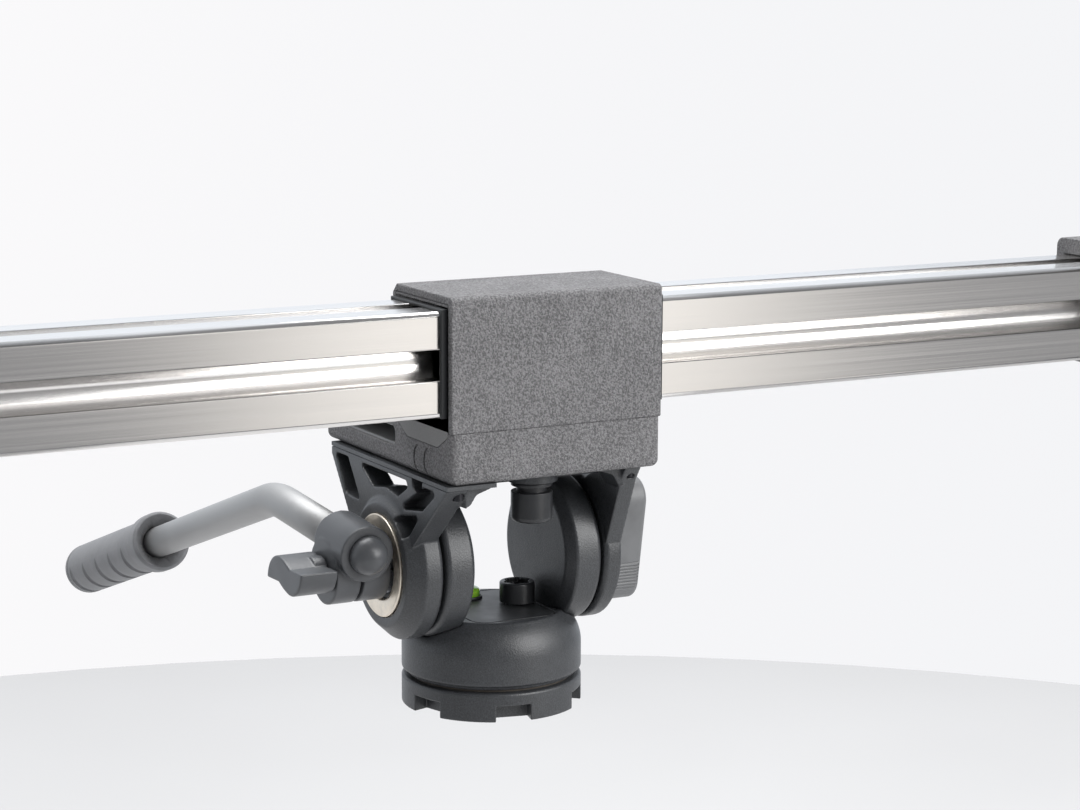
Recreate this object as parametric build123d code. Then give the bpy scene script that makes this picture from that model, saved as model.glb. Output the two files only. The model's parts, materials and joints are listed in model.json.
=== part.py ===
"""Rail carriage on a small fluid head: a slotted aluminium rail slides through a printed
carriage block, which sits on a tilting cradle over a panning base with a bent pan handle.

Frame: origin on the pan axis at the bottom face of the base, +X along the rail, +Y to the
back (the handle's side), +Z up. All sizes are in millimetres.
"""

from build123d import *
import os
from math import atan2, cos, degrees, radians, sin, tan

# ---- rail ------------------------------------------------------------------
rail_length = 610.0
rail_size = 40.0
rail_corner = 2.0
channel_width = 11.7
channel_depth = 10.5
channel_edge = 0.6
core_bore_r = 3.4
lobe_hole = 6.0
lobe_hole_corner = 1.2

# ---- carriage block on the rail ----------------------------------------------
slide_gap = 0.1
liner_side = 1.8
liner_top = 0.9
liner_stick_out = 2.5
liner_to_hood = 0.1
hood_wall = 3.5
hood_top_wall = 4.6
hood_front_round = 2.3
hood_back_chamfer = 3.5
end_line_inset = 2.7
end_line_width = 0.5
end_line_depth = 0.5
block_width = 90.0
block_height = 19.8
block_back = 60.0
block_round = 3.0
seat_rise = 5.6
seat_sink = 6.5
seat_floor = 26.0
seat_slope = 5.0
print_gap = 0.15
tongue_depth = 2.5
tongue_width = 1.6
hood_foot_depth = 11.0
hood_foot_height = 4.0
hood_screw_x = 28.0
window_front = 24.0
window_length = 52.0
window_height = 8.0
window_floor = 7.5
window_round = 3.0
sleeve_wall = 0.8
sleeve_inset = 1.5
vent_radius = 6.0
vent_width = 1.0
vent_deep = 1.2
vent_pitch = 8.7

# ---- rail end mounts -----------------------------------------------------------
end_mount_wall = 6.0
end_mount_top = 7.0
end_mount_grip = 29.0
end_mount_cap = 6.0
end_mount_round = 4.0
insert_r = 4.0
insert_bore_r = 2.55
insert_length = 6.4

# ---- pan base -------------------------------------------------------------------
base_r = 36.0
base_height = 11.5
base_notches = 6
notch_width = 14.0
notch_height = 6.5
notch_depth = 7.0
notch_first_deg = 17.2
pan_gap = 1.0
housing_height = 25.5
housing_straight = 11.5
housing_top_r = 30.0
housing_top_edge = 1.2
shadow_groove_height = 1.6
shadow_groove_depth = 1.8
bush_recess = 5.0
spindle_r = 9.0
spindle_flange_r = 17.0
spindle_flange = 3.0
tripod_thread_r = 4.0
tripod_thread_length = 13.0
bearing_wall = 5.0
bearing_height = 9.0
nut_r = 13.0
nut_height = 4.0
running_gap = 0.05
cover_thickness = 4.0
cover_half_width = 18.0
cover_half_length = 24.0
level_r = 6.2
level_wall = 0.8
level_rim = 1.2
vial_height = 4.8
level_x = -2.6
level_y = 16.5
lock_r = 7.1
lock_height = 8.4
lock_x = 11.6
lock_y = 0.0

# ---- tilt hubs --------------------------------------------------------------------
hub_r = 30.0
hub_face_step = 5.0
hub_cone = 3.0
hub_inner_x = 20.0
hub_thickness = 14.2
hub_sink = 8.0
tilt_gap = 1.2
friction_thickness = 0.8
friction_r = 22.0
axle_r = 6.0
axle_head_r = 11.0
axle_head = 3.0
axle_reach = 11.0
bush_wall = 2.0
stud_r = 2.5
seat_clearance = 0.05

# ---- tilting cradle ------------------------------------------------------------------
arm_thickness_left = 13.6
arm_thickness_right = 10.1
arm_face_step = 5.5
arm_cone = 6.0
rim_chamfer = 1.4
truss_inset = 2.5
pocket_web = 3.0
platform_over_hub = 10.5
platform_plate = 1.6
platform_pad = 6.8
platform_front = -55.0
platform_front_right = -44.5
platform_back = 51.0
pad_gap = 0.8
lug_r = 10.0
lug_height = 3.2
gusset_reach = 26.0
gusset_depth = 8.0
ring_r = 20.4
ring_bore_r = 13.6
ring_thickness = 2.6
ring_proud = 0.8
screw_knob_r = 8.1
screw_knob_height = 15.6
screw_y = -34.0
camera_screw_r = 3.1
screw_insert_r = 5.0
screw_insert_length = 9.0
pin_r = 2.0
pin_x = 30.0
pin_y = 30.0

# ---- pan handle -------------------------------------------------------------------------
clamp_boss_r = 13.0
clamp_face_gap = 0.4
clamp_slit = 1.2
socket_gap = 0.8
socket_wall = 4.0
socket_front = -17.0
socket_back = 9.0
tube_r = 7.0
tube_wall = 1.5
tube_over_stud = 0.6
tube_first_slope = 3.6
tube_second_slope = -18.6
tube_bend_y = 72.5
tube_bend_r = 50.0
grip_start = 143.0
grip_length = 112.0
grip_wall = 5.0
collar_step = 1.6
collar_length = 9.0
collar_mouth = 6.0
groove_pitch = 19.5
groove_round = 2.6
groove_deep = 2.2
groove_count = 5
cap_length = 6.0
dome_step = 0.6

# ---- knobs ----------------------------------------------------------------------------------
knob_gap = 0.6
wing_length = 16.0
wing_neck = 0.8
wing_reach = 16.8
wing_edge = 3.8
wing_belly = 6.5
wing_hub_r = 6.4
drag_half_span = 17.2
drag_lobe_r = 9.0
drag_thickness = 14.0
drag_hub_r = 11.0
drag_turn = 10.0
disc_spring_r = 9.0
disc_spring_count = 4
disc_spring_thickness = 0.7
stud_clearance = 0.4

# ---- screws --------------------------------------------------------------------------------
m4_r = 2.0
m4_head_r = 3.5
m4_head = 3.0
m4_hole_gap = 0.05

# ---- places worked out from the sizes above ---------------------------------------------------
housing_floor = base_height + pan_gap
housing_top = housing_floor + housing_height
tilt_z = housing_top + hub_r - hub_sink
hub_face_r = hub_r - hub_face_step
arm_face_r = hub_r - arm_face_step
platform_rise = hub_r + platform_over_hub
hub_outer_x = hub_inner_x + hub_thickness
arm_inner_x = hub_outer_x + tilt_gap
arm_outer_left = arm_inner_x + arm_thickness_left
arm_outer_right = arm_inner_x + arm_thickness_right
block_floor = tilt_z + platform_rise
block_top = block_floor + block_height
seat_top = block_top + seat_rise
rail_y = -30.0
rail_z = seat_top + slide_gap + rail_size / 2
liner_half = rail_size / 2 + slide_gap + liner_side
hood_inner = liner_half + liner_to_hood
hood_half = hood_inner + hood_wall
hood_ceiling = rail_z + rail_size / 2 + slide_gap + liner_top + liner_to_hood
hood_top = hood_ceiling + hood_top_wall
end_mount_inner_x = rail_length / 2 - end_mount_grip
end_mount_outer_x = rail_length / 2 + end_mount_cap
cavity_r = spindle_r + bearing_wall
cavity_floor = housing_floor + bearing_height + 2 * pan_gap
tube_axis_z = tilt_z + stud_r + tube_over_stud + tube_r
socket_r = tube_r + socket_wall
handle_x = -(arm_outer_left + ring_proud + clamp_face_gap + socket_gap + socket_r)
clamp_end_x = handle_x - socket_r
grip_r = tube_r + grip_wall
collar_r = grip_r + collar_step
dome_r = tube_r + dome_step
pad_front = screw_y + screw_knob_r + pad_gap


def box(x0, x1, y0, y1, z0, z1):
    """Box between two corners."""
    middle = Pos((x0 + x1) / 2, (y0 + y1) / 2, (z0 + z1) / 2)
    return middle * Box(abs(x1 - x0), abs(y1 - y0), abs(z1 - z0))


def rod_x(r, x0, x1, y=0.0, z=tilt_z):
    """Cylinder along X."""
    return Pos((x0 + x1) / 2, y, z) * Rot(0, 90, 0) * Cylinder(r, abs(x1 - x0))


def rod_z(r, z0, z1, x=0.0, y=0.0):
    """Cylinder along Z."""
    return Pos(x, y, (z0 + z1) / 2) * Cylinder(r, abs(z1 - z0))


def ring_z(r_out, r_in, z0, z1, x=0.0, y=0.0):
    """Ring with a vertical axis."""
    return rod_z(r_out, z0, z1, x, y) - rod_z(r_in, z0, z1, x, y)


def ring_x(r_out, r_in, x0, x1):
    """Ring on the tilt axis."""
    return rod_x(r_out, x0, x1) - rod_x(r_in, x0, x1)


def prism_x(points, x0, x1, corner=0.0):
    """Outline in (y, z), stretched from x0 to x1, with its corners rounded."""
    outline = make_face(Polyline(*points, close=True))
    if corner:
        outline = fillet(outline.vertices(), corner)
    return Pos(min(x0, x1), 0, 0) * extrude(Plane.YZ * outline, abs(x1 - x0))


def turned_x(profile, side):
    """Solid of revolution about the tilt axis; profile holds (distance from centre, radius)."""
    outline = make_face(Polyline(*[(side * x, r) for x, r in profile], close=True))
    return Pos(0, 0, tilt_z) * revolve(outline, Axis.X)


def socket_screw(x, y, z_head, length, up=False):
    """Socket-head screw on a vertical axis; z_head is the face that its head presses on."""
    screw = rod_z(m4_head_r, 0, m4_head) + rod_z(m4_r, -length, 0)
    screw -= Pos(0, 0, m4_head) * extrude(RegularPolygon(1.7, 6), -m4_head * 0.6)
    turned = Rot(180, 0, 0) if up else Rot(0, 0, 0)
    return Pos(x, y, z_head) * turned * screw


# ---- rail -----------------------------------------------------------------------------------------

def rail_section():
    """Square section with an open channel on each face, hollow corners and a core bore."""
    half = rail_size / 2
    section = RectangleRounded(rail_size, rail_size, rail_corner)
    for turn in range(4):
        mouth = Pos(0, half - channel_depth / 2) * Rectangle(channel_width, channel_depth)
        flare = Pos(0, half) * Rot(0, 0, 45) * Rectangle(channel_edge, channel_edge)
        edges = Pos(channel_width / 2, 0) * flare + Pos(-channel_width / 2, 0) * flare
        section -= Rot(0, 0, 90 * turn) * (mouth + edges)
    lobe = (half + channel_width / 2) / 2
    for sx in (-1, 1):
        for sy in (-1, 1):
            hole = RectangleRounded(lobe_hole, lobe_hole, lobe_hole_corner)
            section -= Pos(sx * lobe, sy * lobe) * hole
    return section - Circle(core_bore_r)


def rail():
    """Slotted rail along X."""
    bar = extrude(Plane.YZ * rail_section(), rail_length)
    return Pos(-rail_length / 2, rail_y, rail_z) * bar


# ---- carriage block ----------------------------------------------------------------------------------

def seat_outline(gap=0.0):
    """Section of the seat under the rail, seen along X: upright sides that run in below."""
    half = liner_half + gap
    foot = seat_floor / 2 + gap
    shoulder = block_top - seat_sink + seat_slope - gap
    floor = block_top - seat_sink - gap
    return [(rail_y - half, seat_top), (rail_y + half, seat_top), (rail_y + half, shoulder),
            (rail_y + foot, floor), (rail_y - foot, floor), (rail_y - half, shoulder)]


def rail_seat():
    """Glide seat that carries the rail's underside."""
    return prism_x(seat_outline(), -block_width / 2, block_width / 2)


def liner():
    """Glide liner over the rail's top and both sides, standing out of the hood at each end."""
    reach = block_width / 2 + liner_stick_out
    inner = rail_size / 2 + slide_gap
    floor = seat_top + slide_gap
    outer = box(-reach, reach, rail_y - liner_half, rail_y + liner_half, floor,
                rail_z + inner + liner_top)
    return outer - box(-reach, reach, rail_y - inner, rail_y + inner, floor, rail_z + inner)


def hood_tongue(gap=0.0):
    """Tongue under the hood's front wall; with a gap, the groove that takes it."""
    middle = rail_y - hood_half + hood_wall / 2
    side = block_width / 2 - 2 * hood_wall + gap
    half = tongue_width / 2 + gap
    return box(-side, side, middle - half, middle + half, block_top - tongue_depth - gap, block_top)


def hood_foot_back():
    """Back edge of the hood's foot, where its screws stand."""
    return rail_y + hood_half + hood_foot_depth


def end_line():
    """Fine line cut into both end faces, parallel to the hood's outer edge."""
    outer_y = hood_half - end_line_inset
    top = hood_top - end_line_inset
    half = block_width / 2
    loop = box(-half, half, rail_y - outer_y, rail_y + outer_y, block_top, top)
    inner_y = outer_y - end_line_width
    loop -= box(-half, half, rail_y - inner_y, rail_y + inner_y, block_top, top - end_line_width)
    keep = half - end_line_depth
    return loop - box(-keep, keep, rail_y - hood_half, rail_y + hood_half, block_top, hood_top)


def hood():
    """Cover over the rail, screwed to the block behind it and tongued in front."""
    half = block_width / 2
    shell = box(-half, half, rail_y - hood_half, rail_y + hood_half, block_top, hood_top)
    top_edges = shell.edges().filter_by(Axis.X).group_by(Axis.Z)[-1].sort_by(Axis.Y)
    shell = fillet(top_edges[0], hood_front_round)
    top_edges = shell.edges().filter_by(Axis.X).group_by(Axis.Z)[-1].sort_by(Axis.Y)
    shell = chamfer(top_edges[-1], hood_back_chamfer)
    shell -= box(-half, half, rail_y - hood_inner, rail_y + hood_inner, block_top, hood_ceiling)
    foot = box(-half + hood_wall, half - hood_wall, rail_y + hood_half - hood_wall / 2,
               hood_foot_back(), block_top, block_top + hood_foot_height)
    shell += foot
    for x in (-hood_screw_x, hood_screw_x):
        shell -= rod_z(m4_r + m4_hole_gap, block_top, block_top + hood_foot_height,
                       x, hood_screw_y())
    return shell - end_line() + hood_tongue()


def hood_screw_y():
    """Screw line of the hood's foot."""
    return rail_y + hood_half + hood_foot_depth / 2


def hood_screws():
    """Two screws from the hood's foot into the block."""
    length = hood_foot_height + hood_screw_depth()
    head = block_top + hood_foot_height
    return [socket_screw(x, hood_screw_y(), head, length) for x in (-hood_screw_x, hood_screw_x)]


def hood_screw_depth():
    """Depth of the hood screws in the block's top wall."""
    return (block_height - window_floor - window_height) * 0.9


def window(inset=0.0, end_inset=0.0):
    """Slot right through the block along X, behind the rail."""
    y0 = rail_y + window_front + inset
    z0 = block_floor + window_floor + inset
    half = block_width / 2 - end_inset
    hole = box(-half, half, y0, y0 + window_length - 2 * inset, z0, z0 + window_height - 2 * inset)
    return fillet(hole.edges().filter_by(Axis.X), window_round - inset)


def slot_sleeve():
    """Thin metal sleeve that lines the slot, set back from both ends."""
    return window(0.0, sleeve_inset) - window(sleeve_wall, sleeve_inset)


def vent_slots():
    """Two curved slots, one beside the other, in each end face."""
    middle_z = block_floor + 0.33 * block_height
    slots = []
    for end in (-1, 1):
        for index in (0, 1):
            centre_y = rail_y + vent_radius + 1.0 - vent_pitch * index
            ring = Circle(vent_radius + vent_width / 2) - Circle(vent_radius - vent_width / 2)
            sector = Pos(vent_radius, 0) * Rectangle(vent_radius, block_height / 2)
            arc = extrude(Plane.YZ * (ring & sector), vent_deep)
            shift = block_width / 2 - vent_deep if end > 0 else -block_width / 2
            slots.append(Pos(shift, centre_y - vent_radius, middle_z) * arc)
    return slots


def lower_block():
    """Printed body that carries the rail seat, with a deck behind the rail."""
    half = block_width / 2
    body = box(-half, half, rail_y - hood_half, block_back, block_floor, block_top)
    lower = body.edges().filter_by(Axis.X).group_by(Axis.Z)[0]
    body = fillet(lower, block_round)
    corners = body.edges().filter_by(Axis.Z).group_by(Axis.Y)[-1]
    body = fillet(corners, block_round)
    body -= prism_x(seat_outline(print_gap), -half, half)
    body -= box(-half, half, rail_y - liner_half - print_gap, rail_y + liner_half + print_gap,
                block_top - print_gap, block_top)
    body -= window()
    body -= hood_tongue(print_gap)
    body -= rod_z(screw_insert_r, block_floor, block_floor + screw_insert_length, 0, screw_y)
    for x in (-pin_x, pin_x):
        body -= rod_z(pin_r + m4_hole_gap, block_floor, block_floor + pin_depth() + print_gap,
                      x, pin_y)
    for x in (-hood_screw_x, hood_screw_x):
        floor = block_top - hood_screw_depth() - print_gap
        body -= rod_z(m4_r + m4_hole_gap, floor, block_top, x, hood_screw_y())
    for slot in vent_slots():
        body -= slot
    return body


def pin_depth():
    """How far the anti-twist pins stand up into the block."""
    return window_floor * 0.6


def block_insert():
    """Threaded brass insert for the camera screw."""
    return ring_z(screw_insert_r, camera_screw_r + running_gap, block_floor,
                  block_floor + screw_insert_length, 0, screw_y)


def anti_twist_pins():
    """Two dowel pins from the platform into the block."""
    floor = block_floor - platform_pad
    return [rod_z(pin_r, floor, block_floor + pin_depth(), x, pin_y) for x in (-pin_x, pin_x)]


# ---- rail end mounts ---------------------------------------------------------------------------------

def end_mount(side):
    """Printed mount over one end of the rail, with a camera thread in its top."""
    x0, x1 = side * end_mount_inner_x, side * end_mount_outer_x
    half = rail_size / 2 + end_mount_wall
    top = rail_z + rail_size / 2 + end_mount_top
    body = box(x0, x1, rail_y - half, rail_y + half, rail_z - half, top)
    body = fillet(body.edges().filter_by(Axis.X), end_mount_round)
    pocket = rail_size / 2 + print_gap
    body -= box(x0, side * (rail_length / 2 + print_gap), rail_y - pocket, rail_y + pocket,
                rail_z - pocket, rail_z + pocket)
    body -= rod_x(m4_r * 1.5 + m4_hole_gap, x0, x1, rail_y, rail_z)
    body -= rod_x(m4_head_r * 1.5, x1 - side * end_mount_cap / 2, x1, rail_y, rail_z)
    body -= rod_z(insert_r, top - insert_length, top, end_insert_x(side), rail_y)
    for y in (-1, 1):
        body -= clamp_screw_hole(side, y)
    return body


def end_insert_x(side):
    """Camera thread's place on an end mount."""
    return side * (end_mount_inner_x + end_mount_outer_x) / 2


def clamp_screw_hole(side, face):
    """Cross hole for a grub screw in the front or back wall of an end mount."""
    y0 = rail_y + face * (rail_size / 2 - channel_depth)
    y1 = rail_y + face * (rail_size / 2 + end_mount_wall)
    hole = Rot(90, 0, 0) * Cylinder(m4_r + m4_hole_gap, abs(y1 - y0))
    return Pos(end_insert_x(side), (y0 + y1) / 2, rail_z) * hole


def clamp_screws():
    """Grub screws that press on the rail's channel floors, one in each side wall."""
    screws = []
    for side in (-1, 1):
        for face in (-1, 1):
            y0 = rail_y + face * (rail_size / 2 - channel_depth + print_gap)
            y1 = rail_y + face * (rail_size / 2 + end_mount_wall - print_gap)
            grub = Rot(90, 0, 0) * Cylinder(m4_r, abs(y1 - y0))
            socket = Rot(90, 0, 0) * extrude(RegularPolygon(1.1, 6), 2.5, both=True)
            place = Pos(end_insert_x(side), (y0 + y1) / 2, rail_z)
            mouth = Pos(end_insert_x(side), y1, rail_z)
            screws.append(place * grub - mouth * socket)
    return screws


def end_insert(side):
    """Threaded brass insert in the top of an end mount."""
    top = rail_z + rail_size / 2 + end_mount_top
    return ring_z(insert_r, insert_bore_r, top - insert_length, top, end_insert_x(side), rail_y)


def end_screws():
    """One screw through each end mount's outer wall into the rail's core."""
    screws = []
    for side in (-1, 1):
        outer = side * end_mount_outer_x
        head_face = outer - side * end_mount_cap / 2
        head = rod_x(m4_head_r * 1.4, head_face, outer - side * print_gap, rail_y, rail_z)
        shank = rod_x(m4_r * 1.5, side * (rail_length / 2 - 14), head_face, rail_y, rail_z)
        socket = Rot(0, 90, 0) * extrude(RegularPolygon(2.6, 6), 2.0, both=True)
        screws.append(head + shank - Pos(outer, rail_y, rail_z) * socket)
    return screws


# ---- pan base -------------------------------------------------------------------------------------------

def base_ring():
    """Round foot with notches round its lower edge, recessed for the spindle's flange."""
    ring = rod_z(base_r, 0, base_height)
    ring = fillet(ring.edges().group_by(Axis.Z)[-1], 1.2)
    for index in range(base_notches):
        turn = Rot(0, 0, notch_first_deg + index * 360 / base_notches)
        notch = box(base_r - notch_depth, base_r + 1, -notch_width / 2, notch_width / 2,
                    0, notch_height)
        ring -= turn * notch
    ring -= rod_z(spindle_r + seat_clearance, 0, base_height)
    ring -= rod_z(spindle_flange_r + seat_clearance, 0, spindle_flange)
    for x, y in base_screw_places():
        ring -= rod_z(m4_r + m4_hole_gap, spindle_flange, base_height - 1, x, y)
    return ring


def base_screw_places():
    """Three places on the spindle's flange."""
    radius = (spindle_r + spindle_flange_r) / 2
    angles = [radians(90 + 120 * index) for index in range(3)]
    return [(radius * cos(angle), radius * sin(angle)) for angle in angles]


def pan_spindle():
    """Steel spindle with a flange, and a blind tripod thread up its middle."""
    top = cavity_floor + nut_height
    spindle = rod_z(spindle_r, 0, top) + rod_z(spindle_flange_r, 0, spindle_flange)
    spindle -= rod_z(tripod_thread_r, 0, tripod_thread_length)
    for x, y in base_screw_places():
        spindle -= rod_z(m4_r + m4_hole_gap, 0, spindle_flange, x, y)
        spindle -= Pos(x, y, 0.8) * Cone(m4_head_r, m4_r, 1.6)
    return spindle


def base_screws():
    """Countersunk screws that hold the spindle's flange to the foot."""
    screws = []
    for x, y in base_screw_places():
        head = Pos(x, y, 0.8) * Cone(m4_head_r, m4_r, 1.6)
        screws.append(head + rod_z(m4_r, 1.6, base_height - 2, x, y))
    return screws


def pan_friction_disc():
    """Flat friction ring in the gap between the foot and the housing."""
    thickness = pan_gap * 0.8
    return ring_z(base_r - 3.5, cavity_r + 2, base_height, base_height + thickness)


def pan_bearing():
    """Bush that turns on the spindle."""
    return ring_z(cavity_r, spindle_r + running_gap, housing_floor, housing_floor + bearing_height)


def pan_nut():
    """Ring nut on the spindle that keeps the housing down."""
    nut = ring_z(nut_r, spindle_r, cavity_floor, cavity_floor + nut_height)
    for index in range(4):
        turn = Rot(0, 0, 45 + 90 * index)
        nut -= turn * box(nut_r - 1.5, nut_r + 1, -1.5, 1.5, cavity_floor, cavity_floor + nut_height)
    return nut


def cover_outline(gap=0.0):
    """Plan of the top cover between the two hubs."""
    return RectangleRounded(2 * (cover_half_width + gap), 2 * (cover_half_length + gap), 6)


def pan_housing():
    """Turned body with a rounded shoulder, pockets for the hubs and a bearing seat below."""
    shoulder = housing_floor + housing_straight
    profile = Polyline((0, housing_floor), (base_r, housing_floor), (base_r, shoulder))
    shoulder_arc = TangentArc((base_r, shoulder), (housing_top_r, housing_top - housing_top_edge),
                              tangent=(0, 1))
    close = Polyline((housing_top_r, housing_top - housing_top_edge),
                     (housing_top_r - housing_top_edge, housing_top), (0, housing_top),
                     (0, housing_floor))
    outline = make_face(profile + shoulder_arc + close)
    body = revolve(Plane.XZ * outline, Axis.Z)
    body -= rod_z(cavity_r, housing_floor, housing_floor + bearing_height)
    body -= ring_z(base_r, base_r - shadow_groove_depth, housing_floor,
                   housing_floor + shadow_groove_height)
    body -= rod_z(nut_r + pan_gap, housing_floor + bearing_height, housing_top)
    body -= Pos(0, 0, housing_top - cover_thickness) * extrude(cover_outline(seat_clearance),
                                                             cover_thickness)
    for side in (-1, 1):
        body -= turned_x(hub_profile(seat_clearance), side)
    for x, y in hub_screw_places():
        body -= rod_z(m4_r + m4_hole_gap, housing_floor, housing_top, x, y)
        body -= rod_z(m4_head_r + m4_hole_gap, housing_floor, hub_screw_face(), x, y)
    return body


def hub_profile(gap=0.0):
    """Half-section of a hub disc: flat outer face, full rim, cone to a smaller inner face."""
    x0, x1 = hub_inner_x - gap, hub_outer_x + gap
    return [(x0, 0), (x0, hub_face_r + gap), (x0 + hub_cone, hub_r + gap),
            (x1 - rim_chamfer, hub_r + gap), (x1, hub_r + gap - rim_chamfer), (x1, 0)]


def hub_screw_places():
    """Two screws up into each hub."""
    x = hub_inner_x + hub_thickness * 0.45
    return [(side * x, y) for side in (-1, 1) for y in (-9.0, 9.0)]


def hub_screw_face():
    """Face that the hub screws' heads press on."""
    return housing_floor + bearing_height


def hub(side):
    """Upright disc of the pan body that carries one tilt bearing."""
    disc = turned_x(hub_profile(), side)
    outer = side * hub_outer_x
    disc -= rod_x(bush_r(), side * (hub_outer_x - axle_reach), outer)
    for x, y in hub_screw_places():
        if x * side > 0:
            disc -= rod_z(m4_r + m4_hole_gap, tilt_z - hub_r, tilt_z - hub_r + 7.5, x, y)
    return disc


def hub_screws():
    """Four screws from under the housing into the hubs."""
    length = tilt_z - hub_r + 7.0 - hub_screw_face()
    return [socket_screw(x, y, hub_screw_face(), length, up=True) for x, y in hub_screw_places()]


def pan_cover():
    """Plate between the hubs, with holes for the level and the lock knob's stem."""
    floor = housing_top - cover_thickness
    plate = Pos(0, 0, floor) * extrude(cover_outline(), cover_thickness)
    plate -= rod_z(level_r - 1.5, housing_top - 1.5, housing_top, level_x, level_y)
    return plate - rod_z(stud_r + stud_clearance, floor, housing_top, lock_x, lock_y)


def level_cup():
    """Low cup of the round level, with a spigot down into the cover."""
    cup = rod_z(level_r, housing_top, housing_top + level_rim, level_x, level_y)
    cup += rod_z(level_r - 1.5, housing_top - 1.5, housing_top, level_x, level_y)
    return cup - rod_z(level_r - level_wall, housing_top + 0.4, housing_top + level_rim,
                       level_x, level_y)


def level_vial():
    """Clear capsule of liquid in the level."""
    floor = housing_top + 0.4
    vial = rod_z(level_r - level_wall - 0.05, floor, floor + vial_height, level_x, level_y)
    return fillet(vial.edges().group_by(Axis.Z)[-1], 1.8)


def lock_knob():
    """Small round pan-lock knob with a star recess in its top."""
    floor = housing_top + knob_gap
    top = floor + lock_height
    knob = rod_z(lock_r, floor, top, lock_x, lock_y)
    knob = fillet(knob.edges().group_by(Axis.Z)[-1], 0.8)
    knob -= rod_z(lock_r - 2.6, top - 2.0, top, lock_x, lock_y)
    for index in range(6):
        angle = radians(60 * index)
        x = lock_x + (lock_r - 2.6) * cos(angle)
        y = lock_y + (lock_r - 2.6) * sin(angle)
        knob -= rod_z(1.1, top - 2.0, top, x, y)
    return knob - rod_z(stud_r, floor, floor + lock_height * 0.6, lock_x, lock_y)


def lock_stem():
    """Steel stem from the lock knob down through the cover."""
    floor = housing_top - cover_thickness
    return rod_z(stud_r, floor, housing_top + knob_gap + lock_height * 0.6, lock_x, lock_y)


# ---- tilt bearings ---------------------------------------------------------------------------------------

def bush_r():
    """Outer radius of a tilt bush."""
    return axle_r + running_gap + bush_wall


def tilt_bush(side):
    """Bronze bush pressed into a hub."""
    inner = side * (hub_outer_x - axle_reach)
    return ring_x(bush_r(), axle_r + running_gap, inner, side * hub_outer_x)


def friction_washer(side):
    """Friction washer on a hub's outer face."""
    x0 = side * hub_outer_x
    return ring_x(friction_r, bush_r(), x0, x0 + side * friction_thickness)


def arm_outer(side):
    """Distance of an arm's outer face from the centre."""
    return arm_outer_left if side < 0 else arm_outer_right


def tilt_axle(side):
    """Headed axle fixed in an arm, running in the hub's bush; its end is tapped for a stud."""
    head_out = arm_outer(side) - ring_thickness + ring_proud
    inner = hub_outer_x - axle_reach + 1.0
    axle = rod_x(axle_r, side * inner, side * head_out)
    axle += rod_x(axle_head_r, side * (head_out - axle_head), side * head_out)
    return axle - rod_x(stud_r + running_gap, side * (inner + 3.0), side * head_out)


# ---- cradle ---------------------------------------------------------------------------------------------------

def arm_profile(side):
    """Half-section of an arm's disc: rim at the hub, cone to a smaller outer face."""
    outer = arm_outer(side)
    cone = arm_cone if side < 0 else arm_cone * 0.5
    return [(arm_inner_x, 0), (arm_inner_x, hub_r - rim_chamfer),
            (arm_inner_x + rim_chamfer, hub_r), (outer - cone, hub_r), (outer, arm_face_r),
            (outer, 0)]


def truss_top():
    """Height of the arms' top rail above the tilt axis."""
    return platform_rise - platform_plate


def truss_front(side):
    """Front end of an arm's top rail."""
    return platform_front if side < 0 else platform_front_right


def truss_front_edge(side):
    """Front edge of an arm's upper part, from its top down to the disc."""
    top = truss_top()
    if side < 0:
        return [(platform_front, top), (-0.83 * hub_r, 0.40 * hub_r)]
    return [(platform_front_right, top), (platform_front_right + 4.0, top - 6.0),
            (-0.98 * hub_r, 0.2 * hub_r)]


def truss_outline(side):
    """Side outline of an arm's upper part, about the tilt axis."""
    top = truss_top()
    return truss_front_edge(side) + [(-0.4 * hub_r, -0.1 * hub_r), (0.6 * hub_r, -0.1 * hub_r),
                                     (0.93 * hub_r, 0.15 * hub_r), (platform_back, top - 3.5),
                                     (platform_back, top)]


def truss_pockets(side):
    """Openings between the ribs: the window goes through, the others keep a web."""
    top = truss_top() - 2.2
    window_opening = [(24, top), (-19, top), (-20, top - 2.5), (-11, 0.97 * hub_r), (0, hub_r + 0.8),
                      (11.5, 0.97 * hub_r)]
    rear = [(platform_back - 3.5, top), (35, top), (23.5, 0.70 * hub_r), (37.5, 0.72 * hub_r)]
    front_upper = [(-46, top), (-34, top), (-10.5, 0.80 * hub_r), (-33, 0.92 * hub_r)]
    front_lower = [(-12, 0.72 * hub_r), (-31, 0.84 * hub_r), (-18.5, 0.43 * hub_r)]
    return window_opening, [rear, front_upper, front_lower] if side < 0 else [rear]


def about_tilt(points):
    """Move an outline from the tilt axis to its place."""
    return [(y, z + tilt_z) for y, z in points]


def gusset(side):
    """Corner web from an arm's top inwards under the platform's front."""
    top = tilt_z + truss_top()
    root = arm_inner_x + 2.0
    waist = (gusset_reach + 2 * arm_inner_x) / 3
    outline = [(root, top), (gusset_reach, top), (gusset_reach, top - 0.15 * gusset_depth),
               (waist, top - 0.4 * gusset_depth), (arm_inner_x, top - gusset_depth),
               (root, top - gusset_depth)]
    face = make_face(Polyline(*[(side * x, z) for x, z in outline], close=True))
    length = pad_front - truss_front(side) - 6.0
    web = Pos(0, pad_front - 2.0, 0) * extrude(Plane.XZ * face, length)
    clearance = hub_r + tilt_gap
    web -= rod_x(clearance, side * (hub_inner_x - 1), side * arm_inner_x)
    ahead = truss_front(side) - 5.0
    below_edge = about_tilt([(ahead, truss_top())] + truss_front_edge(side)[1:] + [(ahead, 0)])
    return web - prism_x(below_edge, side * (hub_inner_x - 1), side * (arm_inner_x + 1))


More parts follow.
